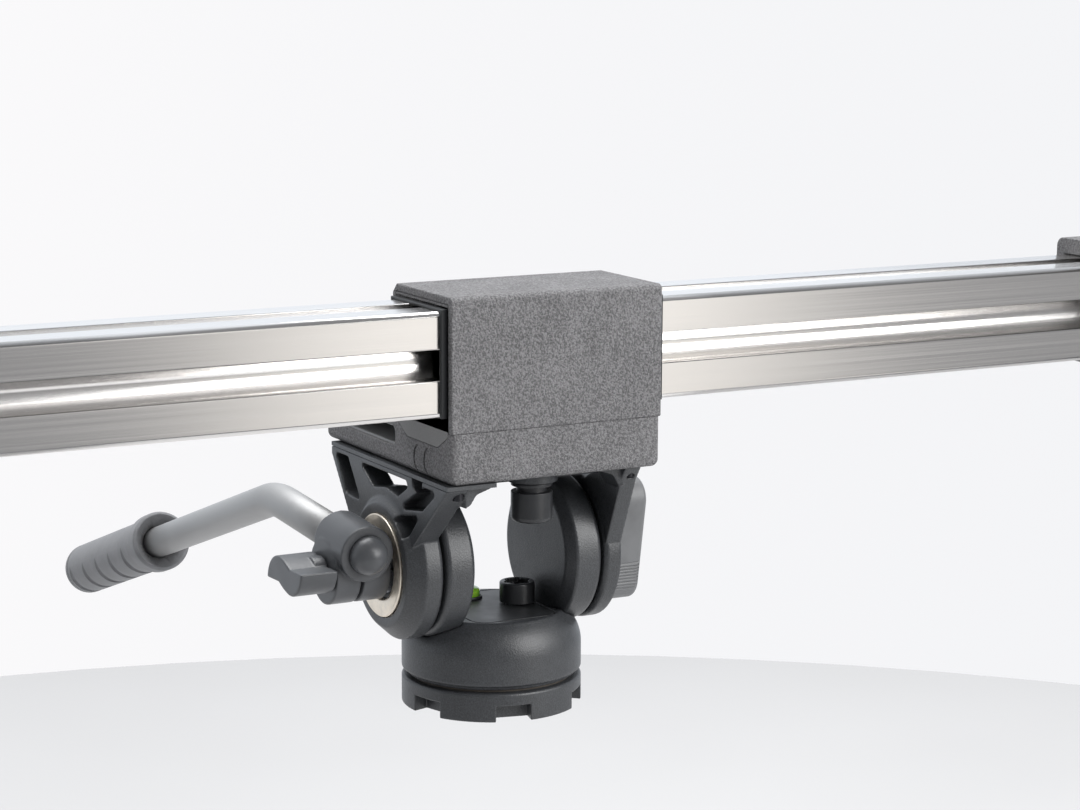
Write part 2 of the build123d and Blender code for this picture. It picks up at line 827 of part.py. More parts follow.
def arm(side):
    """Cradle arm: a disc on the tilt axis with a ribbed truss up to the platform."""
    outer = arm_outer(side)
    truss_outer = outer - truss_inset
    truss_inner = arm_inner_x + (0.5 if side > 0 else 1.6)
    body = turned_x(arm_profile(side), side)
    truss = prism_x(about_tilt(truss_outline(side)), side * truss_inner, side * truss_outer)
    window_opening, pockets = truss_pockets(side)
    truss -= prism_x(about_tilt(window_opening), side * (truss_inner - 1), side * outer, 1.0)
    kept = rod_x(arm_face_r - 0.5, side * arm_inner_x, side * outer)
    truss -= rod_x(4.5, side * (truss_inner + pocket_web), side * outer, -28.5,
                   tilt_z + truss_top() - 0.6)
    body += truss + gusset(side)
    for pocket in pockets:
        floor = side * (truss_inner + pocket_web)
        body -= prism_x(about_tilt(pocket), floor, side * outer, 1.2) - kept
    head = outer - ring_thickness + ring_proud
    body -= rod_x(axle_r, side * arm_inner_x, side * outer)
    body -= rod_x(axle_head_r, side * (head - axle_head), side * outer)
    if side < 0:
        body -= rod_x(ring_r + seat_clearance, -outer, -(outer - ring_thickness + ring_proud))
    for x, y in arm_screw_places():
        if x * side > 0:
            floor = tilt_z + truss_top() - 5.0
            body -= rod_z(m4_r + m4_hole_gap, floor, tilt_z + truss_top(), x, y)
    return body


def arm_screw_places():
    """Two screws down into each arm, one near each end of its top rail."""
    x = arm_inner_x + 4.5
    return [(side * x, y) for side in (-1, 1) for y in (truss_front(side) + 4.5, 30.0)]


def arm_screws():
    """Countersunk screws from the platform's top into the arms."""
    screws = []
    for x, y in arm_screw_places():
        head = Pos(x, y, block_floor - 0.8) * Cone(m4_r, m4_head_r, 1.6)
        screws.append(head + rod_z(m4_r, block_floor - platform_plate - 4.6, block_floor - 0.8, x, y))
    return screws


def rosette_ring():
    """Turned metal ring let into the left arm's outer face."""
    outer = arm_outer_left + ring_proud
    ring = ring_x(ring_r, ring_bore_r, -(outer - ring_thickness), -outer)
    step = ring_x(ring_r - 2.4, ring_bore_r, -(outer - 0.3), -outer)
    return ring - step


def platform():
    """Thin top plate on both arms, with a thick pad between them and a lug for the screw."""
    left = arm_outer_left - truss_inset
    right = arm_outer_right - truss_inset
    floor = block_floor - platform_plate
    plate = box(-left, right, platform_front, platform_back, floor, block_floor)
    plate -= box(-gusset_reach, gusset_reach, platform_front, screw_y, floor, block_floor)
    plate -= box(gusset_reach, right, platform_front, platform_front_right, floor, block_floor)
    plate += rod_z(lug_r, block_floor - lug_height - platform_plate, block_floor, 0, screw_y)
    inside = arm_inner_x - 0.3
    pad_floor = block_floor - platform_pad
    plate += box(-inside, inside, pad_front, platform_back, pad_floor, block_floor)
    plate += box(-lug_r, lug_r, screw_y, pad_front, block_floor - lug_height - platform_plate,
                 block_floor)
    plate -= rod_z(camera_screw_r + stud_clearance, pad_floor, block_floor, 0, screw_y)
    for x in (-pin_x, pin_x):
        plate -= rod_z(pin_r, pad_floor, block_floor, x, pin_y)
    for x, y in arm_screw_places():
        plate -= rod_z(m4_r + m4_hole_gap, floor, block_floor, x, y)
        plate -= Pos(x, y, block_floor - 0.8) * Cone(m4_r, m4_head_r, 1.6)
    return plate


def screw_knob():
    """Round knob under the platform, with a slot across it below its top."""
    top = block_floor - lug_height - platform_plate - knob_gap
    floor = top - screw_knob_height
    knob = rod_z(screw_knob_r, floor, top, 0, screw_y)
    knob = fillet(knob.edges().group_by(Axis.Z)[0], 2.2)
    knob -= ring_z(screw_knob_r + 1, screw_knob_r - 2.2, top - 3.6, top - 1.4, 0, screw_y)
    return knob - rod_z(camera_screw_r, floor + 3, top, 0, screw_y)


def camera_screw():
    """Threaded stem of the screw knob, up into the block's insert."""
    top = block_floor - lug_height - platform_plate - knob_gap
    floor = top - screw_knob_height
    return rod_z(camera_screw_r, floor + 3, block_floor + screw_insert_length - 2, 0, screw_y)


# ---- pan handle --------------------------------------------------------------------------------------------------

def tube_height(y):
    """Height of the tube's first straight run over a given y."""
    return tube_axis_z + y * tan(radians(tube_first_slope))


def run_axis(y):
    """Place on the first run, turned so that local Z points back along it."""
    return Pos(handle_x, y, tube_height(y)) * Rot(-90 + tube_first_slope, 0, 0)


def tube_path():
    """Centre line of the tube: two straight runs joined by one arc."""
    start_y = socket_front + 8.0
    slope = radians(tube_second_slope)
    reach = grip_start + grip_length - cap_length
    bend = (handle_x, tube_bend_y, tube_height(tube_bend_y))
    end = (handle_x, bend[1] + reach * cos(slope), bend[2] + reach * sin(slope))
    return FilletPolyline((handle_x, start_y, tube_height(start_y)), bend, end, radius=tube_bend_r)


def second_run(distance):
    """Place on the tube's second run, at a distance from the bend, local Z along it."""
    slope = radians(tube_second_slope)
    y = tube_bend_y + distance * cos(slope)
    z = tube_height(tube_bend_y) + distance * sin(slope)
    return Pos(handle_x, y, z) * Rot(-90 + tube_second_slope, 0, 0)


def handle_tube():
    """Bent tube of the pan handle."""
    path = tube_path()
    start = Plane(origin=path @ 0, z_dir=path % 0)
    return sweep(start * (Circle(tube_r) - Circle(tube_r - tube_wall)), path=path)


def clamp_inner_x():
    """Inner face of the handle clamp, just off the ring."""
    return -(arm_outer_left + ring_proud + clamp_face_gap)


def handle_clamp():
    """Split clamp: a boss on the tilt axis with a socket across its top for the tube."""
    body = rod_x(clamp_boss_r, clamp_inner_x(), clamp_end_x)
    length = socket_back - socket_front
    body += run_axis(socket_front) * Pos(0, 0, length / 2) * Cylinder(socket_r, length)
    body -= box(handle_x - clamp_slit / 2, handle_x + clamp_slit / 2, -clamp_boss_r - 1,
                clamp_boss_r + 1, tilt_z - clamp_boss_r - 1, tube_axis_z)
    body -= run_axis(socket_front) * Pos(0, 0, length) * Cylinder(tube_r, 2 * length)
    return body - rod_x(stud_r + stud_clearance, clamp_inner_x(), clamp_end_x)


def tube_plug():
    """Domed plug that closes the socket's front end."""
    dome = run_axis(socket_front) * Pos(0, 0, -1.5) * Sphere(dome_r)
    cut = run_axis(socket_front) * Pos(0, 0, 20) * Box(40, 40, 40)
    stem = run_axis(socket_front) * Pos(0, 0, 3.5) * Cylinder(tube_r, 7)
    return dome - cut + stem


def handle_grip():
    """Rubber grip with a hollow collar in front and finger grooves that fade out half way up."""
    grip = Cylinder(grip_r, grip_length - cap_length, align=(Align.CENTER, Align.CENTER, Align.MIN))
    collar = Cylinder(collar_r, collar_length, align=(Align.CENTER, Align.CENTER, Align.MIN))
    body = grip + fillet(collar.edges(), 1.5)
    for index in range(groove_count):
        place = grip_length - cap_length - groove_pitch * (index + 0.25)
        body -= Pos(0, -groove_deep, place) * Torus(grip_r + groove_round, groove_round)
    body -= Pos(0, 0, collar_mouth / 2) * Cone(collar_r - 1.5, tube_r, collar_mouth)
    body -= Cylinder(tube_r, grip_length - cap_length, align=(Align.CENTER, Align.CENTER, Align.MIN))
    return second_run(grip_start) * body


def grip_cap():
    """Rounded cap at the end of the grip."""
    cap = Cylinder(grip_r, cap_length, align=(Align.CENTER, Align.CENTER, Align.MIN))
    cap = fillet(cap.edges().group_by(Axis.Z)[-1], 4.0)
    return second_run(grip_start + grip_length - cap_length) * cap


# ---- knobs on the tilt axis ----------------------------------------------------------------------------------------

def bar_knob(half_span, lobe_r, x0, x1, turn):
    """Two-lobed bar across the tilt axis, turned about it."""
    outline = SlotCenterToCenter(2 * half_span, 2 * lobe_r)
    bar = extrude(Plane.YZ * Rot(0, 0, turn) * outline, abs(x1 - x0))
    return Pos(min(x0, x1), 0, tilt_z) * bar


def wing_outer_x():
    """Outer end of the wing knob."""
    return clamp_end_x - knob_gap - wing_length


def wing_outline():
    """End view of the wing knob: two blades round a hub, each with a belly and a hollow side."""
    tip, belly_end = (wing_reach, -wing_edge), (0.18 * wing_reach, wing_belly)
    hollow = (-0.33 * wing_reach, 0.92 * wing_edge)
    belly = ThreePointArc(tip, (0.86 * wing_reach, 0.37 * wing_belly), belly_end)
    dip = ThreePointArc(belly_end, (-0.1 * wing_reach, 0.8 * wing_belly), hollow)
    edge = Line(hollow, (-wing_reach, wing_edge))
    half = belly + dip + edge
    return make_face(half + Rot(0, 0, 180) * half)


def wing_knob():
    """Wing knob that tightens the handle's clamp."""
    inner = clamp_end_x - knob_gap
    face = Plane.YZ * wing_outline()
    knob = Pos(wing_outer_x(), 0, tilt_z) * extrude(face, wing_length - wing_neck)
    knob = fillet(knob.edges().group_by(Axis.X)[0], 0.6)
    knob += rod_x(wing_hub_r, inner, inner - 5.0)
    return knob - rod_x(stud_r, inner, wing_outer_x() + 4.0)


def wing_stud():
    """Threaded stud from the wing knob through the clamp into the left axle."""
    return rod_x(stud_r, wing_outer_x() + 4.0, -(hub_outer_x - axle_reach + 6.0))


def drag_inner_x():
    """Inner end of the tilt-drag knob."""
    return arm_outer_right + ring_proud + disc_spring_count * disc_spring_thickness + knob_gap


def drag_knob():
    """Two-winged tilt-drag knob outside the right arm, its lower wing ribbed for grip."""
    inner = drag_inner_x()
    outer = inner + 1.5 + drag_thickness
    turn = 90 + drag_turn
    knob = bar_knob(drag_half_span, drag_lobe_r, inner + 1.5, outer, turn)
    knob = fillet(knob.edges().group_by(Axis.X)[-1], 2.0)
    knob += rod_x(drag_hub_r, inner, inner + 3.0)
    ribs = 9
    for index in range(ribs):
        reach = drag_half_span - 9.0 + index * 1.35
        for face in (-1, 1):
            groove = Pos(0, face * drag_lobe_r, -reach) * Box(200, 0.9, 0.6)
            knob -= Pos(0, 0, tilt_z) * Rot(drag_turn, 0, 0) * groove
    return knob - rod_x(stud_r, inner, outer - 4.0)


def drag_stud():
    """Threaded stud from the drag knob into the right axle."""
    return rod_x(stud_r, hub_outer_x - axle_reach + 6.0, drag_inner_x() + 1.5 + drag_thickness - 4.0)


def drag_springs():
    """Stack of disc springs between the right arm and the drag knob."""
    x = arm_outer_right + ring_proud - 0.2
    springs = []
    for index in range(disc_spring_count):
        x0 = x + index * disc_spring_thickness
        springs.append(ring_x(disc_spring_r, stud_r + stud_clearance, x0,
                              x0 + disc_spring_thickness * 0.8))
    return springs


def solids():
    """Every node of the part, by name."""
    return {
        "rail": rail(),
        "hood": hood(),
        "lower_block": lower_block(),
        "rail_seat": rail_seat(),
        "rail_liner": liner(),
        "hood_screws": hood_screws(),
        "slot_sleeve": slot_sleeve(),
        "block_insert": block_insert(),
        "anti_twist_pins": anti_twist_pins(),
        "end_mount_left": end_mount(-1),
        "end_mount_right": end_mount(1),
        "end_insert_left": end_insert(-1),
        "end_insert_right": end_insert(1),
        "end_screws": end_screws(),
        "clamp_screws": clamp_screws(),
        "base_ring": base_ring(),
        "pan_spindle": pan_spindle(),
        "base_screws": base_screws(),
        "pan_friction_disc": pan_friction_disc(),
        "pan_bearing": pan_bearing(),
        "pan_nut": pan_nut(),
        "pan_housing": pan_housing(),
        "pan_cover": pan_cover(),
        "hub_left": hub(-1),
        "hub_right": hub(1),
        "hub_screws": hub_screws(),
        "level_cup": level_cup(),
        "level_vial": level_vial(),
        "lock_knob": lock_knob(),
        "lock_stem": lock_stem(),
        "tilt_bush_left": tilt_bush(-1),
        "tilt_bush_right": tilt_bush(1),
        "friction_washer_left": friction_washer(-1),
        "friction_washer_right": friction_washer(1),
        "tilt_axle_left": tilt_axle(-1),
        "tilt_axle_right": tilt_axle(1),
        "arm_left": arm(-1),
        "arm_right": arm(1),
        "arm_screws": arm_screws(),
        "rosette_ring": rosette_ring(),
        "platform": platform(),
        "screw_knob": screw_knob(),
        "camera_screw": camera_screw(),
        "handle_clamp": handle_clamp(),
        "tube_plug": tube_plug(),
        "handle_tube": handle_tube(),
        "handle_grip": handle_grip(),
        "grip_cap": grip_cap(),
        "wing_knob": wing_knob(),
        "wing_stud": wing_stud(),
        "drag_knob": drag_knob(),
        "drag_stud": drag_stud(),
        "drag_springs": drag_springs(),
    }


def main():
    """Write one STEP file for each node."""
    os.makedirs("parts", exist_ok=True)
    for name, shape in solids().items():
        whole = Compound(children=list(shape)) if isinstance(shape, list) else shape
        export_step(whole, f"parts/{name}.step")


main()
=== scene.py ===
"""Show scene of a rail carriage on a small fluid head.

A slotted aluminium rail slides through a printed carriage block, which stands on a tilting cradle
over a panning base with a bent pan handle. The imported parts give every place; the pieces made
here take over the parts whose edges and turned faces need finer work. Sizes are in millimetres
where a name ends in _mm or a docstring says so, and otherwise in metres.
"""

import json
import logging
import math
from collections.abc import Callable, Iterable, Sequence
from dataclasses import dataclass
from enum import Enum

import bmesh
import bpy
from mathutils import Matrix, Vector


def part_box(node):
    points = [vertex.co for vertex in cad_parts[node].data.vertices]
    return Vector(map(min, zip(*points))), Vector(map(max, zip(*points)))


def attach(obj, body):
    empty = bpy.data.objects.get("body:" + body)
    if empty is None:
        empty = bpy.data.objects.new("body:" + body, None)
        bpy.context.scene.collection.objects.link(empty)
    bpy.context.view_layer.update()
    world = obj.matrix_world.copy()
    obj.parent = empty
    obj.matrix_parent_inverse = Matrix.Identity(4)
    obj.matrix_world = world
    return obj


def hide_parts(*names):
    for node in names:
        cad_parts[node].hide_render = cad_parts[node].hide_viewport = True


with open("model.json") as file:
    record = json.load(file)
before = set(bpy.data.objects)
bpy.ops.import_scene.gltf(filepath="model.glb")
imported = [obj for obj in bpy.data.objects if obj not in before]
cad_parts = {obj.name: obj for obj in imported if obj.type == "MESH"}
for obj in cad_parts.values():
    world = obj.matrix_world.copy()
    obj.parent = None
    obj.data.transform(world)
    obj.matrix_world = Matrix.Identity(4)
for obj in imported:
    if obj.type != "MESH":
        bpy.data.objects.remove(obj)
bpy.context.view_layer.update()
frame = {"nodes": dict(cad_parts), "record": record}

log = logging.getLogger("rail_carriage")

MM = 0.001
SAME_POINT_MM = 0.002
FLAT_ANGLE = math.radians(0.4)
SHARP_ANGLE = math.radians(32.0)
ROOM_FOR_ROUND = 2.3
Outline = Sequence[tuple[float, float]]


class Body(Enum):
    """Moving bodies of the part."""

    BASE = "base"
    PAN_HEAD = "pan_head"
    PAN_LOCK = "pan_lock"
    CRADLE = "cradle"
    PLATE_SCREW = "plate_screw"
    RAIL = "rail"
    HANDLE = "handle"
    WING = "wing"
    DRAG = "drag"


class Slot(Enum):
    """Material slots of the record."""

    RAIL = "rail_aluminium"
    NYLON = "printed_nylon"
    SEAT = "seat_nylon"
    GLIDE = "glide_plastic"
    HEAD = "head_black"
    COVER = "cover_black"
    KNOB = "knob_black"
    CLAMP = "clamp_black"
    DRAG = "drag_grey"
    RING = "turned_ring"
    TUBE = "tube_silver"
    GRIP = "grip_rubber"
    LEVEL = "level_liquid"
    BLACK_SCREW = "black_screw"
    STEEL = "steel"
    BRONZE = "bronze"
    BRASS = "brass_insert"
    LINING = "friction_lining"


class Side(Enum):
    """Left and right of the head, as the sign of X."""

    LEFT = -1
    RIGHT = 1


# ---- node bench ---------------------------------------------------------------------------------


class NodeBench:
    """Lays out the nodes of one material round a Principled shader."""

    def __init__(self, name: str) -> None:
        """Start an empty material.

        Args:
            name: Name of the material.
        """
        self.material = bpy.data.materials.new(name)
        self.material.use_nodes = True
        self.tree = self.material.node_tree
        self.tree.nodes.clear()
        self.shader = self.tree.nodes.new("ShaderNodeBsdfPrincipled")
        output = self.tree.nodes.new("ShaderNodeOutputMaterial")
        self.tree.links.new(self.shader.outputs["BSDF"], output.inputs["Surface"])

    def set(self, **values: object) -> None:
        """Set constants on the shader's own sockets, named with _ for each space."""
        for name, value in values.items():
            self.shader.inputs[name.replace("_", " ")].default_value = value

    def join(self, socket: bpy.types.NodeSocket, name: str) -> None:
        """Link a socket to one of the shader's inputs."""
        self.tree.links.new(socket, self.shader.inputs[name])

    def place(self, stretch: Sequence[float] = (1, 1, 1),
              centre: Sequence[float] = (0, 0, 0)) -> bpy.types.NodeSocket:
        """Object coordinates, moved to a centre and then scaled on each axis.

        Args:
            stretch: Scale on each axis.
            centre: Point in metres that becomes the pattern's origin.

        Returns:
            The vector socket.
        """
        coordinates = self.tree.nodes.new("ShaderNodeTexCoord")
        mapping = self.tree.nodes.new("ShaderNodeMapping")
        mapping.vector_type = "POINT"
        mapping.inputs["Scale"].default_value = stretch
        mapping.inputs["Location"].default_value = [-c * s for c, s in zip(centre, stretch)]
        self.tree.links.new(coordinates.outputs["Object"], mapping.inputs["Vector"])
        return mapping.outputs["Vector"]

    def noise(self, where: bpy.types.NodeSocket, scale: float, detail: float = 2.0,
              roughness: float = 0.5) -> bpy.types.NodeSocket:
        """Noise value at a place.

        Args:
            where: Vector socket.
            scale: Cycles per metre of the vector.
            detail: Octaves.
            roughness: Weight of the finer octaves.

        Returns:
            The value socket.
        """
        node = self.tree.nodes.new("ShaderNodeTexNoise")
        node.inputs["Scale"].default_value = scale
        node.inputs["Detail"].default_value = detail
        node.inputs["Roughness"].default_value = roughness
        self.tree.links.new(where, node.inputs["Vector"])
        return node.outputs["Fac"]

    def cells(self, where: bpy.types.NodeSocket, scale: float) -> bpy.types.NodeSocket:
        """Distance to the nearest of scattered points, as grains lie."""
        node = self.tree.nodes.new("ShaderNodeTexVoronoi")
        node.inputs["Scale"].default_value = scale
        self.tree.links.new(where, node.inputs["Vector"])
        return node.outputs["Distance"]

    def remap(self, value: bpy.types.NodeSocket, start: float, stop: float,
              low: float, high: float) -> bpy.types.NodeSocket:
        """Bring a value from start..stop to low..high, held at both ends."""
        node = self.tree.nodes.new("ShaderNodeMapRange")
        for name, number in (("From Min", start), ("From Max", stop), ("To Min", low), ("To Max", high)):
            node.inputs[name].default_value = number
        self.tree.links.new(value, node.inputs["Value"])
        return node.outputs["Result"]

    def sum(self, *values: bpy.types.NodeSocket) -> bpy.types.NodeSocket:
        """Add values."""
        total = values[0]
        for value in values[1:]:
            total = self.maths("ADD", total, value)
        return total

    def maths(self, operation: str, first: bpy.types.NodeSocket,
              second: bpy.types.NodeSocket | float) -> bpy.types.NodeSocket:
        """One Math node.

        Args:
            operation: The node's operation.
            first: First value.
            second: Second value, a socket or a number.

        Returns:
            The value socket.
        """
        node = self.tree.nodes.new("ShaderNodeMath")
        node.operation = operation
        self.tree.links.new(first, node.inputs[0])
        if isinstance(second, (int, float)):
            node.inputs[1].default_value = second
        else:
            self.tree.links.new(second, node.inputs[1])
        return node.outputs["Value"]

    def blend(self, factor: bpy.types.NodeSocket, dark: Sequence[float],
              light: Sequence[float]) -> bpy.types.NodeSocket:
        """Colour between two, by a factor."""
        node = self.tree.nodes.new("ShaderNodeMix")
        node.data_type = "RGBA"
        node.inputs["A"].default_value = (*dark, 1.0)
        node.inputs["B"].default_value = (*light, 1.0)
        self.tree.links.new(factor, node.inputs["Factor"])
        return next(socket for socket in node.outputs if socket.type == "RGBA")

    def radius(self, where: bpy.types.NodeSocket, along: str) -> bpy.types.NodeSocket:
        """Distance of a place from an axis through the origin.

        Args:
            where: Vector socket.
            along: X, Y or Z, the axis.

        Returns:
            The value socket.
        """
        split = self.tree.nodes.new("ShaderNodeSeparateXYZ")
        self.tree.links.new(where, split.inputs["Vector"])
        first, second = [name for name in "XYZ" if name != along]
        squares = [self.maths("POWER", self.maths("ABSOLUTE", split.outputs[name], 0.0), 2.0)
                   for name in (first, second)]
        return self.maths("POWER", self.sum(*squares), 0.5)

    def bump(self, height: bpy.types.NodeSocket, depth_mm: float, strength: float = 1.0) -> None:
        """Raise the surface by a height map.

        Args:
            height: Value from 0 to 1.
            depth_mm: Height in millimetres of a value of 1.
            strength: Share of the effect.
        """
        node = self.tree.nodes.new("ShaderNodeBump")
        node.inputs["Distance"].default_value = depth_mm * MM
        node.inputs["Strength"].default_value = strength
        self.tree.links.new(height, node.inputs["Height"])
        self.join(node.outputs["Normal"], "Normal")


def shade(colour: Sequence[float], share: float) -> tuple[float, ...]:
    """Colour made lighter or darker by a share."""
    return tuple(min(1.0, channel * share) for channel in colour)


# ---- finishes -----------------------------------------------------------------------------------


@dataclass(frozen=True)
class SinteredNylon:
    """Grey laser-sintered nylon: matt, its skin of fused powder raised in small beads."""

    name: str
    colour: tuple[float, float, float]
    grain_mm: float = 0.80
    contrast: float = 0.46
    relief_mm: float = 0.45

    def material(self) -> bpy.types.Material:
        """Build the material."""
        bench = NodeBench(self.name)
        where = bench.place()
        beads = bench.noise(where, 1 / (self.grain_mm * MM), 1.0, 0.5)
        powder = bench.noise(where, 2.4 / (self.grain_mm * MM), 1.5, 0.6)
        patches = bench.noise(where, 60.0, 2.0)
        skin = bench.sum(bench.remap(beads, 0.32, 0.68, 0.0, 0.6),
                         bench.remap(powder, 0.32, 0.68, 0.0, 0.4))
        grain = bench.sum(bench.remap(skin, 0.2, 0.8, 0.0, 0.85),
                          bench.remap(patches, 0.35, 0.65, 0.0, 0.15))
        bench.join(bench.blend(grain, shade(self.colour, 1 - self.contrast),
                               shade(self.colour, 1 + self.contrast)), "Base Color")
        bench.join(bench.remap(powder, 0.3, 0.7, 0.66, 0.88), "Roughness")
        bench.set(Specular_IOR_Level=0.4)
        bench.bump(skin, self.relief_mm, 1.0)
        return bench.material


@dataclass(frozen=True)
class TexturedCoat:
    """Black paint with a fine dry texture over cast metal, polished a little where it is handled."""

    name: str
    colour: tuple[float, float, float]
    roughness: float = 0.46
    grain_mm: float = 0.55
    relief_mm: float = 0.09

    def material(self) -> bpy.types.Material:
        """Build the material."""
        bench = NodeBench(self.name)
        where = bench.place()
        grain = bench.noise(where, 1 / (self.grain_mm * MM), 2.0, 0.6)
        specks = bench.cells(where, 0.9 / (self.grain_mm * MM))
        rub = bench.noise(where, 38.0, 3.0, 0.6)
        # painted glints: small specks of lighter base colour that stand in for light sparkling off the
        # coat
        glints = bench.remap(bench.noise(where, 1.7 / (self.grain_mm * MM), 1.0), 0.60, 0.74, 0.0, 0.6)
        tone = bench.sum(bench.remap(grain, 0.35, 0.70, 0.0, 0.7), bench.remap(rub, 0.3, 0.7, 0.0, 0.3),
                         glints)
        bench.join(bench.blend(tone, shade(self.colour, 0.60), shade(self.colour, 1.75)), "Base Color")
        bench.join(bench.remap(rub, 0.3, 0.7, self.roughness - 0.06, self.roughness + 0.08), "Roughness")
        bench.set(Specular_IOR_Level=0.62)
        bench.bump(bench.sum(grain, bench.maths("MULTIPLY", specks, 0.6)), self.relief_mm, 0.8)
        return bench.material


@dataclass(frozen=True)
class MouldedPlastic:
    """Glass-filled moulded plastic with a faint spark-eroded surface."""

    name: str
    colour: tuple[float, float, float]
    roughness: float = 0.42
    grain_mm: float = 0.30
    relief_mm: float = 0.02

    def material(self) -> bpy.types.Material:
        """Build the material."""
        bench = NodeBench(self.name)
        where = bench.place()
        grain = bench.noise(where, 1 / (self.grain_mm * MM), 2.0)
        flow = bench.noise(where, 90.0, 3.0, 0.55)
        bench.join(bench.blend(bench.remap(flow, 0.3, 0.7, 0.0, 1.0), shade(self.colour, 0.88),
                               shade(self.colour, 1.14)), "Base Color")
        bench.join(bench.remap(flow, 0.3, 0.7, self.roughness - 0.05, self.roughness + 0.07), "Roughness")
        bench.set(Specular_IOR_Level=0.5)
        bench.bump(grain, self.relief_mm, 0.6)
        return bench.material


@dataclass(frozen=True)
class DrawnAluminium:
    """Anodised extruded aluminium with fine draw lines along X."""

    name: str
    colour: tuple[float, float, float]
    roughness: float = 0.20
    line_mm: float = 0.55
    relief_mm: float = 0.004

    def material(self) -> bpy.types.Material:
        """Build the material."""
        bench = NodeBench(self.name)
        across = 1 / (self.line_mm * MM)
        lines = bench.noise(bench.place((2.5, across, across)), 1.0, 3.0, 0.65)
        hair = bench.noise(bench.place((30.0, 5200.0, 5200.0)), 1.0, 1.0)
        cloud = bench.noise(bench.place((9.0, 120.0, 120.0)), 1.0, 2.0)
        tone = bench.sum(bench.remap(lines, 0.3, 0.7, 0.0, 0.6), bench.remap(cloud, 0.3, 0.7, 0.0, 0.4))
        bench.join(bench.blend(tone, shade(self.colour, 0.95), shade(self.colour, 1.04)), "Base Color")
        bench.join(bench.remap(lines, 0.3, 0.7, self.roughness - 0.03, self.roughness + 0.05), "Roughness")
        bench.set(Metallic=1.0, Anisotropic=0.35)
        bench.bump(bench.sum(lines, bench.maths("MULTIPLY", hair, 0.35)), self.relief_mm, 0.8)
        return bench.material


@dataclass(frozen=True)
class TurnedMetal:
    """Metal faced on a lathe, with fine circular tool marks round an axis."""

    name: str
    colour: tuple[float, float, float]
    axis: str = "X"
    centre_mm: tuple[float, float, float] = (0.0, 0.0, 60.0)
    roughness: float = 0.28
    pitch_mm: float = 0.42
    relief_mm: float = 0.012

    def material(self) -> bpy.types.Material:
        """Build the material."""
        bench = NodeBench(self.name)
        where = bench.place((1, 1, 1), [value * MM for value in self.centre_mm])
        distance = bench.radius(where, self.axis)
        turns = bench.maths("MULTIPLY", distance, 2 * math.pi / (self.pitch_mm * MM))
        wave = bench.remap(bench.maths("SINE", turns, 0.0), -1.0, 1.0, 0.0, 1.0)
        stain = bench.noise(where, 260.0, 3.0)
        bench.join(bench.blend(bench.remap(stain, 0.3, 0.7, 0.0, 1.0), shade(self.colour, 0.86),
                               shade(self.colour, 1.08)), "Base Color")
        bench.join(bench.remap(stain, 0.3, 0.7, self.roughness - 0.05, self.roughness + 0.08), "Roughness")
        bench.set(Metallic=1.0)
        bench.bump(bench.sum(wave, bench.maths("MULTIPLY", stain, 0.3)), self.relief_mm, 0.7)
        return bench.material


@dataclass(frozen=True)
class SatinMetal:
    """Bead-blasted and clear-coated metal, as on the handle's tube and the small fittings."""

    name: str
    colour: tuple[float, float, float]
    roughness: float = 0.38
    metallic: float = 1.0
    grain_mm: float = 0.18
    relief_mm: float = 0.006

    def material(self) -> bpy.types.Material:
        """Build the material."""
        bench = NodeBench(self.name)
        where = bench.place()
        blast = bench.noise(where, 1 / (self.grain_mm * MM), 2.0)
        wear = bench.noise(where, 70.0, 4.0, 0.6)
        bench.join(bench.blend(bench.remap(wear, 0.3, 0.7, 0.0, 1.0), shade(self.colour, 0.93),
                               shade(self.colour, 1.05)), "Base Color")
        bench.join(bench.remap(wear, 0.3, 0.7, self.roughness - 0.05, self.roughness + 0.07), "Roughness")
        bench.set(Metallic=self.metallic)
        bench.bump(blast, self.relief_mm, 0.6)
        return bench.material


@dataclass(frozen=True)
class GripRubber:
    """Soft grey rubber, dusty and slightly pitted."""

    name: str
    colour: tuple[float, float, float]
    roughness: float = 0.62

    def material(self) -> bpy.types.Material:
        """Build the material."""
        bench = NodeBench(self.name)
        where = bench.place()
        pits = bench.cells(where, 1400.0)
        dust = bench.noise(where, 120.0, 4.0, 0.6)
        bench.join(bench.blend(bench.remap(dust, 0.35, 0.7, 0.0, 1.0), shade(self.colour, 0.85),
                               shade(self.colour, 1.2)), "Base Color")
        bench.join(bench.remap(dust, 0.3, 0.7, self.roughness - 0.08, self.roughness + 0.1), "Roughness")
        bench.set(Specular_IOR_Level=0.4, Sheen_Weight=0.15, Sheen_Roughness=0.5)
        bench.bump(bench.sum(pits, dust), 0.05, 0.5)
        return bench.material


@dataclass(frozen=True)
class LevelLiquid:
    """Green liquid under a clear dome."""

    name: str
    colour: tuple[float, float, float]

    def material(self) -> bpy.types.Material:
        """Build the material."""
        bench = NodeBench(self.name)
        where = bench.place()
        swirl = bench.noise(where, 300.0, 2.0)
        bench.join(bench.blend(bench.remap(swirl, 0.3, 0.7, 0.0, 1.0), shade(self.colour, 0.8),
                               shade(self.colour, 1.15)), "Base Color")
        bench.set(Roughness=0.06, Coat_Weight=1.0, Coat_Roughness=0.03, IOR=1.45,
                  Subsurface_Weight=0.3, Subsurface_Scale=0.002)
        return bench.material


